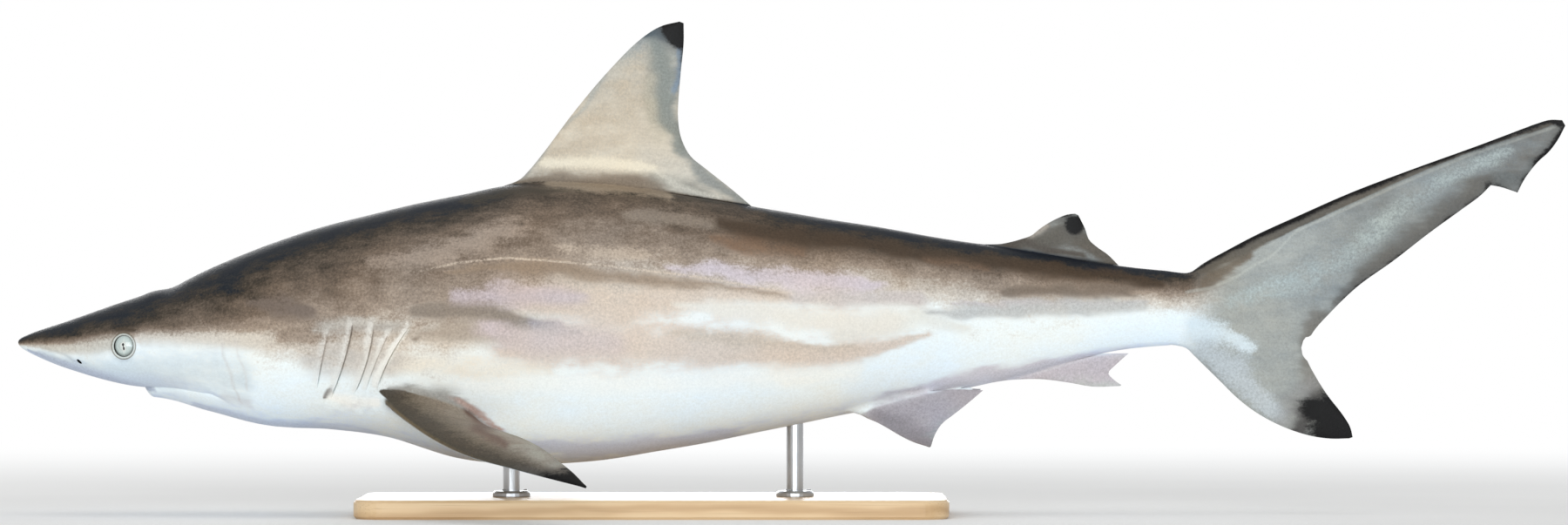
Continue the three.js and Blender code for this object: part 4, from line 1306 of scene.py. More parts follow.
# painted shade: a cooler, darker tint for the skin that faces down under the belly
BELLY_SHADE_TINT = (205, 217, 244)
FAR_FROM_EYE = 60.0
NOSTRIL_REACH = 9
mesh = skin.data
spots = in_body(vertices_of(mesh))
normals = np.zeros(len(spots) * 3, np.float32)
mesh.vertices.foreach_get("normal", normals)
normals = normals.reshape(-1, 3)
x, y, z = spots.T
flat = brushed(spots, 0.25 + 0.75 * smooth(180, 330, spots[:, 0]))
back, belly, half_width, flank, above, below = section(x)
rise = np.where(z >= flank, back - flank, flank - belly)
power = np.where(z >= flank, above, below)
radius = (np.abs(y / half_width) ** power + np.abs((z - flank) / rise) ** power) ** (1 / power)
off_body = (radius - 1) * np.hypot(y, z - flank) / np.maximum(radius, 1e-6)
on_tail = x > STALK_END - 2
on_first = (x > 440) & (x < 706) & (z > back + 0.5)
on_second = (x > 900) & (x < 1056) & (z > back + 0.3)
on_anal = (x > 905) & (x < 1068) & (z < belly - 0.3)
on_pectoral = (x > 335) & (x < 560) & (z < -38) & (np.abs(y) > 45)
on_pelvic = (x > 784) & (x < 925) & (off_body > 2) & (z < 0)
guides = {"tone": tone_of(x, z)}
fin_share = np.zeros(len(x))  # how far the colour of the fin has taken over from the body's
fin_tone = np.zeros(len(x))  # 0 cream, 1 beige, 2 grey, 3 bluish grey, 4 dusky, 5 black
ink = np.full(len(x), -30.0)  # millimetres inside a black marking
tint, cover = washed(flat, BODY_WASHES)
tint, cover = washed(brushed(spots, 0.25), CLOSE_WASHES, tint, cover)
# painted shade: where the skin faces down, a cooler, darker tint is mixed into the washes
painted_belly_shade = 0.4 * smooth(-0.6, -0.95, normals[:, 2]) * (z < 0)
tint = tint * cover[:, None] + painted_belly_shade[:, None] * np.array(colour(*BELLY_SHADE_TINT)[:3])
tint /= np.maximum(cover + painted_belly_shade, 1e-6)[:, None]
cover = np.minimum(cover + painted_belly_shade, 1)
guides["scratch_offset"] = z - line_height(SCRATCH_LINE, x)
guides["scratch_here"] = smooth(355, 440, x) * (1 - smooth(700, 745, x)) * (np.abs(y) > 40)
guides["eye_distance"] = np.where(np.abs(y) > 30, np.hypot(x - EYE_X, (z - EYE_Z) / EYE_TALL), FAR_FROM_EYE)
in_nostril = np.linalg.norm(np.stack([x, np.abs(y), z], -1) - NOSTRIL, axis=1) < NOSTRIL_REACH
guides["hole_depth"] = np.where(in_nostril, np.maximum(-off_body, 0), 0)
print("points on the fins:", int((on_tail | on_first | on_second | on_anal | on_pectoral | on_pelvic).sum()))


def paint_fin(here, washes, share):
    """Washes of a fin in place of the body's."""
    fin_tint, fin_cover = washed(brushed(spots[here], 0.45), washes)
    fin_cover *= smooth(0, 0.3, share)
    body_cover = cover[here] * (1 - share)
    total = fin_cover + body_cover * (1 - fin_cover)
    mixed_tint = fin_tint * fin_cover[:, None] + tint[here] * (body_cover * (1 - fin_cover))[:, None]
    tint[here] = mixed_tint / np.maximum(total, 1e-6)[:, None]
    cover[here] = total
    fin_share[here] = share


# %% Guides on the fins of the midline
TAIL_BAND = [
    (1100, 60), (1136, 66), (1161, 77), (1178, 88), (1219, 109), (1269, 131), (1310, 150), (1352, 168),
    (1389, 183), (1427, 195), (1460, 206), (1480, 214),
]
TAIL_BAND_COLOUR = (92, 84, 72)
FIRST_TIP = (636, 0, 303)
SECOND_BLOTCH = (1006, 0, 112)
SECOND_TIP = (1000, 0, 121)
TOP_EDGE_DEPTHS = [(1100, 4), (1140, 6.5), (1219, 5), (1310, 4.5), (1400, 4), (1460, 4.5)]
TAIL_END = [(1440, 0, 207), (1459, 0, 211.8), (1474, 0, 206.4), (1467, 0, 193), (1446, 0, 169)]
TAIL_SPOTS = [((1401, 0, 149), 3.5), ((1281, 0, 57), 2), ((1331, 0, 94), 2), ((1434, 0, 146), 3.5)]

p = spots[on_first]
behind = to_line(p, rear_margin("first dorsal")[15:])[0]
paint_fin(on_first, FIRST_DORSAL_WASHES, smooth(-1, 4, p[:, 2] - back[on_first]))
fin_tone[on_first] = 0.95 + 0.4 * smooth(180, 250, p[:, 2]) + 1.7 * smooth(255, 300, p[:, 2])
tip = 19 - np.linalg.norm((p - FIRST_TIP) * (0.75, 0.3, 0.8), axis=1)
ink[on_first] = np.maximum(tip, 2.2 - behind - 0.06 * np.maximum(292 - p[:, 2], 0))

p = spots[on_second]
paint_fin(on_second, SECOND_DORSAL_WASHES, smooth(-1, 5, p[:, 2] - back[on_second]))
fin_tone[on_second] = 2.8
blotch = 8.8 - np.linalg.norm((p - SECOND_BLOTCH) * (0.9, 0.3, 0.9), axis=1)
ink[on_second] = np.maximum(blotch, 2.5 - np.linalg.norm((p - SECOND_TIP) * (0.35, 0.3, 1), axis=1))

p = spots[on_tail]
along_tail, height = p[:, 0], p[:, 2]
top = to_line(p, front_margin("tail, upper lobe"))[0]
behind = to_line(p, rear_margin("tail, upper lobe")[31:])[0]
in_band = height - line_height(TAIL_BAND, along_tail)
paint_fin(on_tail, TAIL_WASHES, smooth(1106, 1150, along_tail + 0.25 * (30 - height)))
fin_tone[on_tail] = 2.2 + 0.8 * smooth(1170, 1310, along_tail) + 0.5 * smooth(1380, 1440, along_tail)
soft = 1.5 + 8 * smooth(1200, 1120, along_tail)
band = smooth(-soft, soft, in_band) * smooth(1104, 1128, along_tail)
cover[on_tail] = np.maximum(cover[on_tail], band)
tint[on_tail] = tint[on_tail] * (1 - band[:, None]) + band[:, None] * np.array(colour(*TAIL_BAND_COLOUR)[:3])
depth = line_height(TOP_EDGE_DEPTHS, along_tail)
rear_edge = 1.5 - behind - 40 * smooth(1262, 1236, along_tail)
end = 4 - to_line(p, np.array(TAIL_END))[0]
past_front = along_tail - 1222 + 0.34 * (height + 60)
below_top = 1.3 * (-50 - height) + 0.5 * (along_tail - 1236)
low_tip = np.where(height < -30, 0.32 * np.minimum(past_front, below_top), -30)
away = [size - np.linalg.norm((p - place) * (1, 0.1, 1), axis=1) for place, size in TAIL_SPOTS]
spot = np.max(away, axis=0)
ink[on_tail] = np.maximum.reduce([depth - top, rear_edge, end, low_tip, spot])
guides["light_edge"] = np.full(len(x), 30.0)
guides["light_edge"][on_tail] = in_band + 2.2 + 12 * smooth(1222, 1190, along_tail)

paint_fin(on_anal, LOWER_FIN_WASHES, 0.8 * smooth(0, 10, belly[on_anal] - z[on_anal]))
fin_tone[on_anal] = 2.0

# %% Guides on the paired fins
PECTORAL_ROOT = [(347, -44), (353, -42.5), (372, -43.5), (405, -53), (431, -64), (446, -76)]
PECTORAL_FRONT = [(345, -42), (352, -49), (401, -91)]
PIT_STROKE = [(431, -65, 3), (445, -76, 5), (458, -85, 5), (472, -93, 2.5)]
ROOT_EDGE_REACH = 9

guides["pectoral"] = np.zeros(len(x))
guides["across_fin"] = np.full(len(x), 0.5)
guides["along_fin"] = np.zeros(len(x))
p = spots[on_pectoral]
side_of = np.sign(p[:, 1])
before, behind = np.zeros(len(p)), np.zeros(len(p))
for side, word in ((LEFT, "left"), (RIGHT, "right")):
    own = side_of == side
    before[own] = to_line(p[own], front_margin("pectoral, " + word))[0]
    behind[own] = to_line(p[own], rear_margin("pectoral, " + word))[0]
upper = smooth(-0.8, -0.5, normals[on_pectoral, 2])
below_root = line_height(PECTORAL_ROOT, p[:, 0]) - p[:, 2]
behind_front = p[:, 2] - line_height(PECTORAL_FRONT, p[:, 0])
near_root = (p[:, 0] < 446) & (np.abs(p[:, 1]) < 125)
inside = np.clip(np.minimum(below_root, behind_front), -ROOT_EDGE_REACH, ROOT_EDGE_REACH)
guides["root_edge"] = np.full(len(x), -float(ROOT_EDGE_REACH))
guides["root_edge"][on_pectoral] = np.where(near_root, inside, -ROOT_EDGE_REACH)
guides["across_fin"][on_pectoral] = before / (before + behind + 1e-6)
guides["along_fin"][on_pectoral] = np.abs(p[:, 1])
guides["pectoral"][on_pectoral] = smooth(2, 6, off_body[on_pectoral]) * upper
guides["pit"] = np.zeros(len(x))
guides["pit"][on_pectoral] = stroke(brushed(p, 0.3), PIT_STROKE)
under = smooth(2, 8, off_body[on_pectoral]) * (1 - upper)
cover[on_pectoral] *= 1 - under
fin_share[on_pectoral] = 0.8 * under
fin_tone[on_pectoral] = 0.6 + 2.4 * smooth(150, 260, np.abs(p[:, 1]))
ink[on_pectoral] = 0.28 * (np.abs(p[:, 1]) - 252) + 1.5 * smooth(0.4, 1, guides["across_fin"][on_pectoral])

p = spots[on_pelvic]
paint_fin(on_pelvic, LOWER_FIN_WASHES, 0.85 * smooth(2, 14, off_body[on_pelvic]))
fin_tone[on_pelvic] = 2.3 + 1.0 * smooth(46, 78, np.abs(p[:, 1])) + 0.5 * smooth(-70, -92, p[:, 2])
guides |= {"fin": fin_share, "fin_tone": fin_tone, "ink": ink, "wash_cover": cover}

for name, values in guides.items():
    layer = mesh.attributes.new(name, "FLOAT", "POINT")
    layer.data.foreach_set("value", values.astype(np.float32))
layer = mesh.attributes.new("wash", "FLOAT_COLOR", "POINT")
layer.data.foreach_set("color", np.column_stack([tint, np.ones(len(x))]).astype(np.float32).ravel())
print("guides:", ", ".join(guides), "and wash")

# %% [markdown]
# ## Grain, a shader group
#
# Shark skin is covered in tiny teeth, the denticles, too small to see one by one. They give a fine sandy
# grain, a little darker and lighter from point to point, and the growth of the skin leaves broader clouds
# and streaks. All of it is built once as a group. Speckle, Streak, Cloud and Drift are patterns from fine
# to broad, and Height is what the bump is made from.

# %% Skin grain group
DENTICLES = 1500.0  # cells to the metre
STREAKED = (0.36, 1.0, 1.0)  # draws a pattern out along the body
# name: features to the metre, detail, roughness, whether it is drawn out along the body
GRAIN_PATTERNS = {
    "Speckle": (430.0, 4.0, 0.75, False),
    "Cloud": (26.0, 5.0, 0.6, False),
    "Streak": (95.0, 5.0, 0.68, True),
    "Drift": (9.0, 3.0, 0.5, False),
}


def grain_group():
    tree = bpy.data.node_groups.new("denticle grain", "ShaderNodeTree")
    for name, default in (("Size", 1.0), ("Seed", 0.0)):
        tree.interface.new_socket(name, in_out="INPUT", socket_type="NodeSocketFloat").default_value = default
    for name in (*GRAIN_PATTERNS, "Height"):
        tree.interface.new_socket(name, in_out="OUTPUT", socket_type="NodeSocketFloat")
    entry = node(tree, "NodeGroupInput")
    size, seed = Signal(entry, "Size"), Signal(entry, "Seed")
    place = object_place(tree)
    drawn_out = place.vector("MULTIPLY", STREAKED)
    made = {}
    for name, (scale, detail, roughness, streaked) in GRAIN_PATTERNS.items():
        made[name] = (drawn_out if streaked else place).noise(scale / size, detail, roughness, seed)
    cells = place.step("ShaderNodeTexVoronoi", {"Vector": place, "Scale": DENTICLES / size}, "Distance")
    made["Height"] = made["Speckle"] * 0.6 + cells
    node(tree, "NodeGroupOutput", made)
    return tree


GRAIN = grain_group()


def grain(tree, size=1.0, seed=0.0):
    """The patterns of the grain by name, as signals in another tree."""
    made = node(tree, "ShaderNodeGroup", node_tree=GRAIN)
    feed(made, {"Size": size, "Seed": seed})
    return {name: Signal(made, name) for name in (*GRAIN_PATTERNS, "Height")}


# %% [markdown]
# ## The skin material
#
# The passes of paint are laid one over another in the order a painter would use. The first is a ramp from
# slate on the ridge to white on the belly, read along the guide of tones. Then come the paler tones of the
# fins, the washes, the dark upper side of the pectoral fins, the thin lines, the eyelids with painted shade
# in the socket and the nostril, and last the black tips. At the end the grain makes every denticle a little
# lighter or darker.

# %% Skin colours
FLANK_TONES = [
    (0.0, (16, 24, 36)), (0.09, (32, 36, 41)), (1 / 6, (62, 54, 45)), (2 / 6, (114, 98, 84)),
    (3 / 6, (158, 142, 127)), (4 / 6, (206, 196, 184)), (5 / 6, (236, 241, 240)), (1.0, (235, 245, 251)),
]
FIN_TONES = [
    (0.0, (230, 224, 208)), (0.2, (203, 195, 181)), (0.4, (168, 170, 165)), (0.6, (132, 138, 140)),
    (0.8, (98, 92, 84)), (1.0, (34, 33, 33)),
]
PECTORAL_TONES = [
    (0.0, (72, 66, 57)), (0.16, (80, 72, 62)), (0.3, (108, 98, 85)), (0.6, (142, 130, 116)),
    (0.85, (158, 148, 135)), (1.0, (138, 130, 118)),
]
PECTORAL_BLOTCH = (176, 172, 158)
PECTORAL_RIM = (142, 122, 88)
PIT = (98, 68, 57)
SCRATCH = (212, 194, 175)
LIGHT_EDGE = (196, 198, 190)
EYELID_RING = (206, 209, 201)
EYELID_OUTLINE = (104, 94, 76)
# painted shade in the gap between the lid and the eye
SOCKET_PAINTED_SHADE = (52, 48, 42)
# painted shade inside the nostril
NOSTRIL_PAINTED_SHADE = (30, 27, 27)
INK_HALO = (84, 84, 84)
INK = (10, 9, 9)
COOL_AND_WARM = [(0.35, (255, 252, 246)), (0.65, (246, 251, 255))]


def skin_material():
    made, tree, shader = new_material("shark skin")
    patterns = grain(tree, size=1.0, seed=1.0)
    speckle, cloud = patterns["Speckle"], patterns["Cloud"]
    drift = (cloud - 0.5) * 1.2
    wander = drift + (patterns["Streak"] - 0.5) * 1.5 + (speckle - 0.5)
    tone = guide(tree, "tone") + wander * 1.4
    paint = (tone / 6.0).ramp(FLANK_TONES)
    fin_tone = (guide(tree, "fin_tone") + wander) / 5.0
    paint = paint.mixed(guide(tree, "fin"), fin_tone.ramp(FIN_TONES))

    # the washes, with edges that break up in the cloud of the skin
    cover = guide(tree, "wash_cover")
    broken = cover + wander * (cover * (1.0 - cover)) * 4.0
    paint = paint.mixed(broken.fade(0.05, 0.95) * 0.92, guide(tree, "wash", "Color"))

    # the upper side of the pectoral fins: a dark front edge, paler blotches behind, a fine golden rim
    across, out_along = guide(tree, "across_fin"), guide(tree, "along_fin")
    top = (across + wander * 0.3).ramp(PECTORAL_TONES)
    blotch = across.fade(0.3, 0.7) * out_along.fade(135, 200) * cloud.fade(0.42, 0.6)
    top = top.mixed(blotch * 0.75, PECTORAL_BLOTCH)
    rim = across.fade(0.05, 0.01) * out_along.fade(240, 120)
    top = top.mixed(rim * 0.4, PECTORAL_RIM)
    root = (guide(tree, "root_edge") + wander * 2.0).fade(-0.8, 1.2)
    paint = paint.mixed(guide(tree, "pectoral").larger(root), top)
    paint = paint.mixed(guide(tree, "pit") * 0.75, PIT)

    # thin lines: the scratch along the furrow, the light edge of the band on the tail
    thin = abs(guide(tree, "scratch_offset") + drift * 1.6).fade(1.5, 0.5)
    gaps = (speckle + cloud * 0.5).fade(0.55, 0.85)
    scratch = thin * guide(tree, "scratch_here") * gaps
    paint = paint.mixed(scratch * 0.65, SCRATCH)
    paint = paint.mixed(abs(guide(tree, "light_edge")).fade(2.6, 0.4) * 0.3, LIGHT_EDGE)

    # the eyelid: a pale ring with a thin brown outline, and painted shade in the gap of the socket
    ring = guide(tree, "eye_distance")
    paint = paint.mixed(ring.fade(11.6, 10.8) * 0.75, EYELID_RING)
    paint = paint.mixed(abs(ring - 11.6).fade(0.9, 0.2) * 0.75, EYELID_OUTLINE)
    paint = paint.mixed(ring.fade(9.9, 9.3), SOCKET_PAINTED_SHADE)
    # painted shade: dark inside the nostril, by how deep the point lies in the hole
    paint = paint.mixed(guide(tree, "hole_depth").fade(0.7, 1.6), NOSTRIL_PAINTED_SHADE)

    # the black tips, ragged at their edges
    ink_edge = guide(tree, "ink") + wander * 6.0
    paint = paint.mixed(ink_edge.fade(-9, 1) * 0.35, INK_HALO)
    paint = paint.mixed(ink_edge.fade(-1.6, 2.4), INK)

    # the grain: every denticle a little lighter or darker, and a drift between cool and warm
    bright = paint.step("ShaderNodeRGBToBW", {0: paint})
    strength = 0.35 + bright.fade(0.8, 0.45) * 0.85
    shade = 1.0 + (speckle - 0.5) * strength
    grey = shade.step("ShaderNodeCombineColor", {0: shade, 1: shade, 2: shade})
    paint = paint.mixed(1.0, grey, "MULTIPLY")
    paint = paint.mixed(1.0, patterns["Drift"].ramp(COOL_AND_WARM), "MULTIPLY")
    raised = patterns["Height"].bumps(0.3, 0.0004)
    feed(shader, {
        "Base Color": paint, "Roughness": 0.4 + cloud * 0.18, "Normal": raised, "Specular IOR Level": 0.16,
        "Coat Weight": 0.02, "Coat Roughness": 0.22,
    })
    return made


mesh.materials.clear()
mesh.materials.append(skin_material())
mesh.shade_smooth()
mesh.set_sharp_from_angle(angle=math.radians(48))
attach(skin, "root")
flesh = [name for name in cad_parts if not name.startswith(("eye_", "stand_"))]
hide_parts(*flesh)
print("skin stands for", len(flesh), "solids")

# %% [markdown]
# ## Unwrapping the skin
#
# A pattern for a cast would be cut from the skin: one broad sheet from the body, slit along the belly, and
# two flat sheets from each fin. The same sheets are laid out here on one square, the UV map, with the body
# unrolled round its axis and each fin pressed flat.

# %% Unwrapping
UV_SCALE = 0.98 / 1500  # of the square for each millimetre
UV_MARGIN = 0.01
BODY_SHEET = (0.02, 0.38)  # place and height on the square
MIDLINE_SHEETS = (0.42, 0.29)  # place of the left sheet, and step to the right one
FIN_SHEETS = {"pectoral": (340, 70, 0.43), "pelvic": (780, 0, 0.76)}  # first x, first y, place on the square
FIN_SHEET_STEP = 0.15


def corner_points(mesh):
    """The point at every corner of every face."""
    numbers = np.zeros(len(mesh.loops), np.int32)
    mesh.loops.foreach_get("vertex_index", numbers)
    return numbers


def face_vectors(mesh, name):
    flat = np.zeros(len(mesh.polygons) * 3, np.float32)
    mesh.polygons.foreach_get(name, flat)
    return flat.reshape(-1, 3)


def unwrap(mesh):
    """The place on the square of every corner of every face."""
    sizes = np.zeros(len(mesh.polygons), np.int32)
    mesh.polygons.foreach_get("loop_total", sizes)
    point = corner_points(mesh)
    corner = in_body(vertices_of(mesh))[point]
    middle = np.repeat(in_body(face_vectors(mesh, "center")), sizes, axis=0)
    facing = np.repeat(face_vectors(mesh, "normal"), sizes, axis=0)

    def turn_of(points):
        return np.arctan2(points[:, 1], points[:, 2] - section(points[:, 0])[3])

    turn = turn_of(middle)
    turn = turn + (turn_of(corner) - turn + np.pi) % (2 * np.pi) - np.pi
    low, tall = BODY_SHEET
    along_body = UV_MARGIN + corner[:, 0] * UV_SCALE
    sheet = np.column_stack([along_body, low + (turn + np.pi) / (2 * np.pi) * tall])
    back, belly = section(middle[:, 0])[:2]
    midline = (np.abs(middle[:, 1]) < 14) & ((middle[:, 2] > back + 1) | (middle[:, 2] < belly - 1))
    midline |= middle[:, 0] > STALK_END
    low, step = MIDLINE_SHEETS
    fin_up = low + (corner[:, 2] + 100) * UV_SCALE + step * (facing[:, 1] > 0)
    sheet[midline] = np.column_stack([along_body, fin_up])[midline]
    for kind, here in (("pectoral", on_pectoral), ("pelvic", on_pelvic)):
        first_x, first_y, low = FIN_SHEETS[kind]
        paired = here[point] & ~midline
        across = UV_MARGIN + (corner[:, 0] - first_x) * UV_SCALE + FIN_SHEET_STEP * (facing[:, 2] < 0)
        up = low + (np.abs(corner[:, 1]) - first_y) * UV_SCALE + FIN_SHEET_STEP * (middle[:, 1] > 0)
        sheet[paired] = np.column_stack([across, up])[paired]
    return sheet


def add_map(made, sheet):
    layer = made.data.uv_layers.new(name="OFBake")
    layer.data.foreach_set("uv", np.asarray(sheet, np.float32).ravel())


add_map(skin, unwrap(mesh))
print("unwrapped:", len(mesh.loops), "corners")

# %% [markdown]
# ## Glass eyes
#
# A blacktip's eye is round, silvery green and flat, with a slit pupil that closes in bright light to two
# small holes, one above the other. A taxidermist uses a glass lens painted on its back. Here the lens is a
# shallow closed dome turned round its own axis, and every point carries its place on the eye, across and
# up. The paint follows those two numbers, and a clear coat over it gives the wet shine of glass. The axis
# is square to the side of the head at the eye, so that the lens sits evenly in its lids.

# %% Eyes
EYE_SEAT = 9.2  # radius of the lens where it meets the lids
EYE_BALL = 15  # radius of the ball that the front of the lens is part of
EYE_PROUD = 2.2
EYE_DEEP = 5
EYE_REAR = [(1, 0), (0.96, 1), (0.8, 1.6), (0.5, 2), (0.1, 2.1)]  # share of the seat, millimetres deeper
EYE_RINGS = [
    (0.0, (205, 212, 208)), (0.3, (196, 206, 201)), (0.37, (178, 188, 184)), (0.45, (190, 201, 197)),
    (0.7, (182, 196, 192)), (0.84, (172, 184, 180)), (0.88, (132, 140, 136)), (0.91, (168, 175, 170)),
    (0.96, (92, 95, 90)),
]
# across, up, half width and half height of the two holes and of the slit that joins them
PUPIL = [(-0.2, 1.3, 1.15, 1.25), (-0.9, -2.1, 0.95, 1.45), (-0.5, -0.4, 0.42, 3.2)]
IRIS_RAYS = (214, 222, 216)
IRIS_MOTTLE = (160, 178, 174)
IRIS_SHADE = (96, 104, 100)
PUPIL_RIM = (226, 226, 218)
PUPIL_BLACK = (12, 13, 13)


def glass_eye(side):
    slope = float(half_width_at(EYE_X + 5, EYE_Z) - half_width_at(EYE_X - 5, EYE_Z)) / 10
    out = np.array([-slope, side, 0.0]) / math.hypot(slope, 1)
    forward = np.array([-1.0, -side * slope, 0.0]) / math.hypot(slope, 1)
    up = np.array([0.0, 0.0, 1.0])
    middle = np.array([EYE_X, side * half_width_at(EYE_X, EYE_Z), EYE_Z])
    radius = EYE_SEAT * np.sin(np.linspace(0.02, 1, 30) * np.pi / 2)
    dome = EYE_PROUD - EYE_BALL + np.sqrt(EYE_BALL**2 - radius**2)
    share, deeper = np.transpose(EYE_REAR)
    radius = np.concatenate([radius, EYE_SEAT * share])[:, None]
    height = np.concatenate([dome, -EYE_DEEP - deeper])[:, None]
    turn = 2 * np.pi * np.arange(72)[None, :] / 72
    across, tall = radius * np.cos(turn), EYE_TALL * radius * np.sin(turn)
    rings = middle + across[..., None] * forward + tall[..., None] * up + height[..., None] * out
    made = solid("glass_eye_" + ("left" if side == LEFT else "right"), *loft(rings))
    places = in_body(vertices_of(made.data)) - middle
    on_eye = np.stack([places @ forward, places @ up / EYE_TALL, places @ out], -1)
    layer = made.data.attributes.new("on_eye", "FLOAT_VECTOR", "POINT")
    layer.data.foreach_set("vector", on_eye.astype(np.float32).ravel())
    made.data.shade_smooth()
    made.data.set_sharp_from_angle(angle=math.radians(50))
    add_map(made, on_eye[corner_points(made.data), :2] / (3 * EYE_SEAT) + 0.5)
    return made


def eye_material():
    made, tree, shader = new_material("glass eye")
    parts = node(tree, "ShaderNodeSeparateXYZ", {0: guide(tree, "on_eye", "Vector")})
    across, tall = Signal(parts, 0), Signal(parts, 1)
    flat = across.step("ShaderNodeCombineXYZ", {0: across, 1: tall})
    away = flat.length()
    turn = tall.maths("ARCTAN2", tall, across)
    rays = turn.step("ShaderNodeCombineXYZ", {0: turn * 5.0, 1: away}).noise(1.4, 4.0)
    iris = (away / 10.0).ramp(EYE_RINGS)
    iris = iris.mixed(rays.fade(0.4, 0.75) * 0.35, IRIS_RAYS)
    iris = iris.mixed(flat.noise(0.35, 3.0).fade(0.45, 0.7) * 0.4, IRIS_MOTTLE)
    low = tall * -0.14 + away * 0.42
    iris = iris.mixed(low.fade(3.3, 4.6) * 0.6, IRIS_SHADE)
    holes = []
    for x, z, wide, high in PUPIL:
        offset = flat.vector("SUBTRACT", (x, z, 0))
        holes.append(offset.vector("MULTIPLY", (1 / wide, 1 / high, 0)).length())
    pupil = holes[0].smaller(holes[1]).smaller(holes[2])
    iris = iris.mixed(pupil.fade(3.0, 1.2) * 0.5, PUPIL_RIM)
    iris = iris.mixed(pupil.fade(1.12, 0.9), PUPIL_BLACK)
    feed(shader, {"Base Color": iris, "Roughness": 0.32, "Coat Weight": 1.0, "Coat Roughness": 0.03})
    return made


eye_finish = eye_material()
for side, solid_name in ((LEFT, "eye_left"), (RIGHT, "eye_right")):
    eye = glass_eye(side)
    eye.data.materials.append(eye_finish)
    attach(eye, "root")
    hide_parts(solid_name)
    print(eye.name, len(eye.data.polygons), "faces")

# %% [markdown]
# ## Stand
#
# The stand is a planed board of pale maple with a clear satin finish, and two steel rods with round feet.
# The board's grain runs along it: long thin rings of darker late wood, and fine pores. The rods are brushed
# round their length. Each foot is held to the board by three small screws with a crossed recess.

# %% Stand finishes
MAPLE_TONES = [
    (0.15, (222, 195, 156)), (0.5, (214, 184, 143)), (0.8, (196, 163, 122)), (1.0, (184, 150, 110)),
]
MAPLE_PORES = (164, 130, 92)
STEEL_TONES = [(0.3, (186, 188, 190)), (0.7, (204, 205, 206))]


def maple():
    made, tree, shader = new_material("satin maple")
    place = object_place(tree)
    log = place.step("ShaderNodeMapping", {
        "Vector": place, "Location": (0.3, 0.11, 0.37), "Rotation": (0.12, 0.05, 0.03),
        "Scale": (0.35, 1.0, 1.6)})
    rings = log.step("ShaderNodeTexWave", {
        "Vector": log, "Scale": 9.0, "Distortion": 6.0, "Detail": 3.0, "Detail Scale": 1.4,
        "Detail Roughness": 0.55}, "Fac", wave_type="BANDS", bands_direction="Z")
    pores = place.vector("MULTIPLY", (9, 700, 700)).noise(1.0, 2.0)
    paint = (rings * 0.6 + log.noise(6.0, 3.0) * 0.4).ramp(MAPLE_TONES)
    paint = paint.mixed(pores.fade(0.56, 0.7) * 0.3, MAPLE_PORES)
    feed(shader, {
        "Base Color": paint, "Roughness": 0.42, "Normal": pores.bumps(0.12, 0.0002),
        "Specular IOR Level": 0.3, "Coat Weight": 0.05, "Coat Roughness": 0.3,
    })
    return made


def brushed_steel():
    made, tree, shader = new_material("brushed steel")
    place = object_place(tree)
    brush = place.vector("MULTIPLY", (60, 60, 5200)).noise(1.0, 3.0, 0.7)
    paint = place.noise(55.0, 4.0).ramp(STEEL_TONES)
    feed(shader, {
        "Base Color": paint, "Roughness": 0.22 + brush * 0.2, "Normal": brush.bumps(0.1, 0.0001),
        "Metallic": 1.0,
    })
    return made


steel = brushed_steel()
bpy.data.objects["stand_base"].data.materials[0] = maple()
for rod_name in ("stand_rod_front", "stand_rod_rear"):
    bpy.data.objects[rod_name].data.materials[0] = steel

# %% [markdown]
# ## Screws
#
# The six screws are all alike, so they are made by a rule: a circle of points on the foot, a pan head on
# each point, and a chance turn for each so that the recesses don't line up, as on any hand-built stand. The
# rule is a tree of geometry nodes whose inputs are the sizes.

# %% Screws
SCREW_HEAD = 2.4 * MM
SCREW_HEIGHT = 1.2 * MM
SCREW_CIRCLE = 13 * MM
SCREWS = 3
SCREW_SEED = 7
ROD_CLEAR = 15 * MM  # beyond this from its axis, a rod is only its round foot
SCREW_INPUTS = {
    "Screws": "NodeSocketInt", "Circle": "NodeSocketFloat", "Head": "NodeSocketFloat",
    "Height": "NodeSocketFloat", "Middle": "NodeSocketVector", "Steel": "NodeSocketMaterial",
}


def screw_tree():
    tree = bpy.data.node_groups.new("ring of screws", "GeometryNodeTree")
    for name, kind in SCREW_INPUTS.items():
        tree.interface.new_socket(name, in_out="INPUT", socket_type=kind)
    tree.interface.new_socket("Geometry", in_out="OUTPUT", socket_type="NodeSocketGeometry")
    entry = node(tree, "NodeGroupInput")
    given = {name: Signal(entry, name) for name in SCREW_INPUTS}
    head, height = given["Head"], given["Height"]
    circle = head.step("GeometryNodeMeshCircle", {"Vertices": given["Screws"], "Radius": given["Circle"]})
    made = head.step("GeometryNodeMeshCone", {
        "Vertices": 32, "Radius Top": head * 0.72, "Radius Bottom": head, "Depth": height}, "Mesh")
    wide, narrow = head * 1.1, head * 0.24
    for across, along_bar in ((wide, narrow), (narrow, wide)):
        size = head.step("ShaderNodeCombineXYZ", {0: across, 1: along_bar, 2: height})
        bar = head.step("GeometryNodeMeshCube", {"Size": size}, "Mesh")
        rise = head.step("ShaderNodeCombineXYZ", {2: height * 1.1})
        raised = head.step("GeometryNodeTransform", {"Geometry": bar, "Translation": rise})
        parts = {"Mesh 1": made, "Mesh 2": raised}
        made = head.step("GeometryNodeMeshBoolean", parts, operation="DIFFERENCE")
    chance = node(tree, "FunctionNodeRandomValue", data_type="FLOAT")
    feed(chance, {"Max": math.pi / 2, "Seed": SCREW_SEED})
    spin = head.step("ShaderNodeCombineXYZ", {2: Signal(chance, "Value")})
    made = head.step("GeometryNodeInstanceOnPoints", {"Points": circle, "Instance": made, "Rotation": spin})
    made = head.step("GeometryNodeTransform", {"Geometry": made, "Translation": given["Middle"]})
    made = head.step("GeometryNodeRealizeInstances", {"Geometry": made})
    made = head.step("GeometryNodeSetMaterial", {"Geometry": made, "Material": given["Steel"]})
    node(tree, "NodeGroupOutput", {"Geometry": made})
    return tree


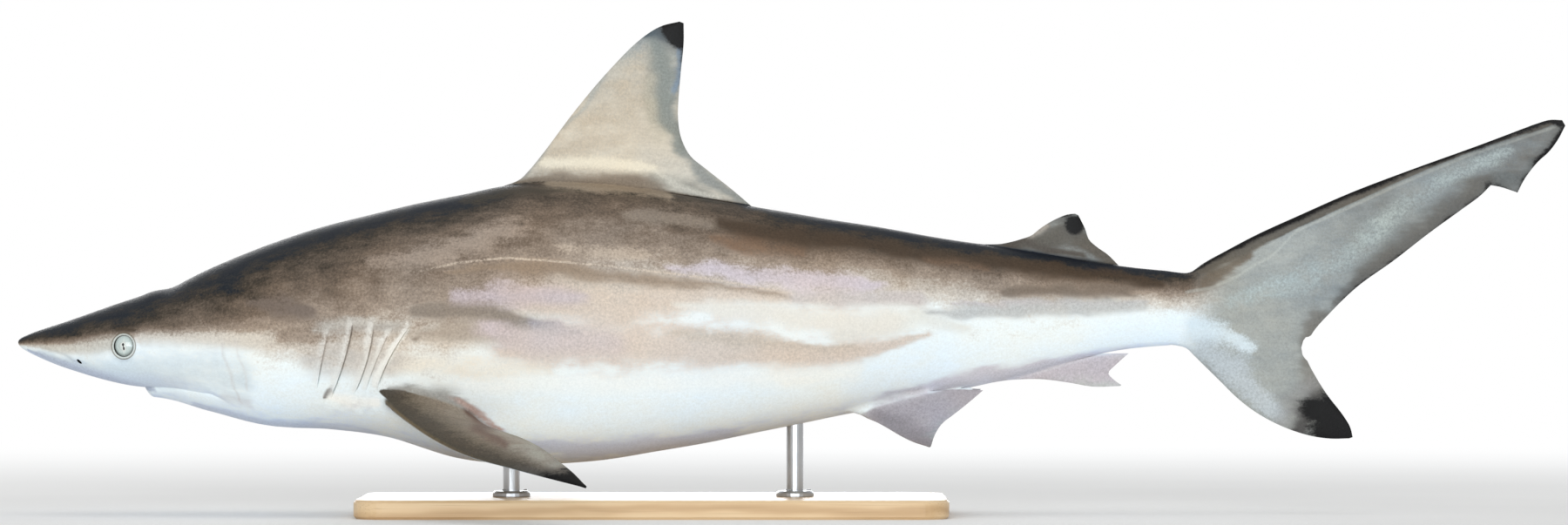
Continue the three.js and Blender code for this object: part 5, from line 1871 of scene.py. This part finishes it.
def ring_of_screws(name, middle, tree):
    mesh = bpy.data.meshes.new(name)
    made = bpy.data.objects.new(name, mesh)
    bpy.context.scene.collection.objects.link(made)
    rule = made.modifiers.new("screws", "NODES")
    rule.node_group = tree
    values = {
        "Screws": SCREWS, "Circle": SCREW_CIRCLE, "Head": SCREW_HEAD, "Height": SCREW_HEIGHT,
        "Middle": middle, "Steel": steel,
    }
    for entry in tree.interface.items_tree:
        if entry.in_out == "INPUT":
            rule[entry.identifier] = values[entry.name]
    bpy.context.view_layer.update()
    finished = bpy.data.meshes.new_from_object(made.evaluated_get(bpy.context.evaluated_depsgraph_get()))
    made.modifiers.clear()
    made.data = finished
    bpy.data.meshes.remove(mesh)
    finished.name = name
    corner = vertices_of(finished)[corner_points(finished), :2]
    add_map(made, (corner - np.array(middle[:2])) / (4 * SCREW_CIRCLE) + 0.5)
    return made


screws = screw_tree()
for foot, rod_name in (("front", "stand_rod_front"), ("rear", "stand_rod_rear")):
    rod = vertices_of(bpy.data.objects[rod_name].data)
    middle = (rod.min(axis=0) + rod.max(axis=0)) / 2
    flange = rod[np.hypot(*(rod - middle)[:, :2].T) > ROD_CLEAR, 2].max()
    place = (float(middle[0]), float(middle[1]), float(flange) + SCREW_HEIGHT / 2)
    ring = ring_of_screws("stand_screws_" + foot, place, screws)
    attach(ring, "root")
    print(ring.name, len(ring.data.polygons), "faces")

# %% [markdown]
# ## Stage, lights and camera
#
# The model stands on a plain pale floor under soft lights. The camera looks level at the left side from six
# metres, as far off as the flat, undistorted view of the shark calls for.

# %% Floor, lights and camera
CAMERA_DISTANCE = 6.0
CAMERA_AIM = (-0.0079, 0.2409)
VIEW_WIDTH = 1.494  # metres across the picture at the shark
FLOOR_HALF = 30
FLOOR_TONES = [(0, (238, 238, 237)), (1, (246, 246, 245))]
FLOOR_PLAIN = 0.7  # metres from the middle of the stand
FLOOR_WHITE = 2.6
BLACK = (0, 0, 0)
WHITE = (1, 1, 1, 1)
COOL_LIGHT = (0.8, 0.9, 1.0)
ROOM_GLOW = 0.56


def floor():
    """A pale floor that brightens with distance until it is as white as the room behind it."""
    mesh = bpy.data.meshes.new("floor")
    corners = [(FLOOR_HALF * x, FLOOR_HALF * y, 0) for x, y in ((-1, -1), (1, -1), (1, 1), (-1, 1))]
    mesh.from_pydata(corners, [], [(0, 1, 2, 3)])
    made = bpy.data.objects.new("floor", mesh)
    bpy.context.scene.collection.objects.link(made)
    material, tree, shader = new_material("pale floor")
    place = object_place(tree)
    tint = place.noise(3.0, 4.0).ramp(FLOOR_TONES)
    far = place.length().fade(FLOOR_PLAIN, FLOOR_WHITE)
    glow = far.step("ShaderNodeMix", {0: far, 6: colour(*BLACK), 7: WHITE}, 2, data_type="RGBA")
    feed(shader, {
        "Base Color": tint.mixed(far, BLACK), "Emission Color": glow, "Emission Strength": 1,
        "Roughness": 0.9, "Specular IOR Level": 0,
    })
    mesh.materials.append(material)
    return made


def softbox(name, place, aim, size, power, light=(1.0, 1.0, 1.0)):
    lamp = bpy.data.lights.new(name, "AREA")
    lamp.shape = "RECTANGLE"
    lamp.size, lamp.size_y = size
    lamp.energy = power
    lamp.color = light
    made = bpy.data.objects.new(name, lamp)
    made.location = place
    made.rotation_euler = (Vector(aim) - Vector(place)).to_track_quat("-Z", "Y").to_euler()
    bpy.context.scene.collection.objects.link(made)


floor()
softbox("overhead light", (-0.3, -0.5, 2.6), (0, 0, 0.2), (2.4, 1.4), 9)
for side in (LEFT, RIGHT):
    softbox("side light", (-0.6, side * 5.4, 1.3), (0, 0, 0.2), (3.6, 2.2), 103)
    softbox("low side light", (0.2, side * 3.2, 0.35), (0, 0, 0.1), (3.0, 0.5), 24, COOL_LIGHT)

world = bpy.data.worlds.new("white studio")
bpy.context.scene.world = world
world.use_nodes = True
sky = world.node_tree
sky.nodes.clear()
glow = Signal(node(sky, "ShaderNodeBackground", {"Color": WHITE, "Strength": ROOM_GLOW}))
plain = Signal(node(sky, "ShaderNodeBackground", {"Color": WHITE, "Strength": 1.0}))
seen = Signal(node(sky, "ShaderNodeLightPath"), "Is Camera Ray")
choice = seen.step("ShaderNodeMixShader", {0: seen, 1: glow, 2: plain})
node(sky, "ShaderNodeOutputWorld", {"Surface": choice})
bpy.context.scene.view_settings.view_transform = "Standard"

lens = bpy.data.cameras.new("camera")
camera = bpy.data.objects.new("camera", lens)
bpy.context.scene.collection.objects.link(camera)
camera.location = (CAMERA_AIM[0], -CAMERA_DISTANCE, CAMERA_AIM[1])
camera.rotation_euler = (math.pi / 2, 0, 0)
lens.lens = lens.sensor_width * CAMERA_DISTANCE / VIEW_WIDTH
bpy.context.scene.camera = camera
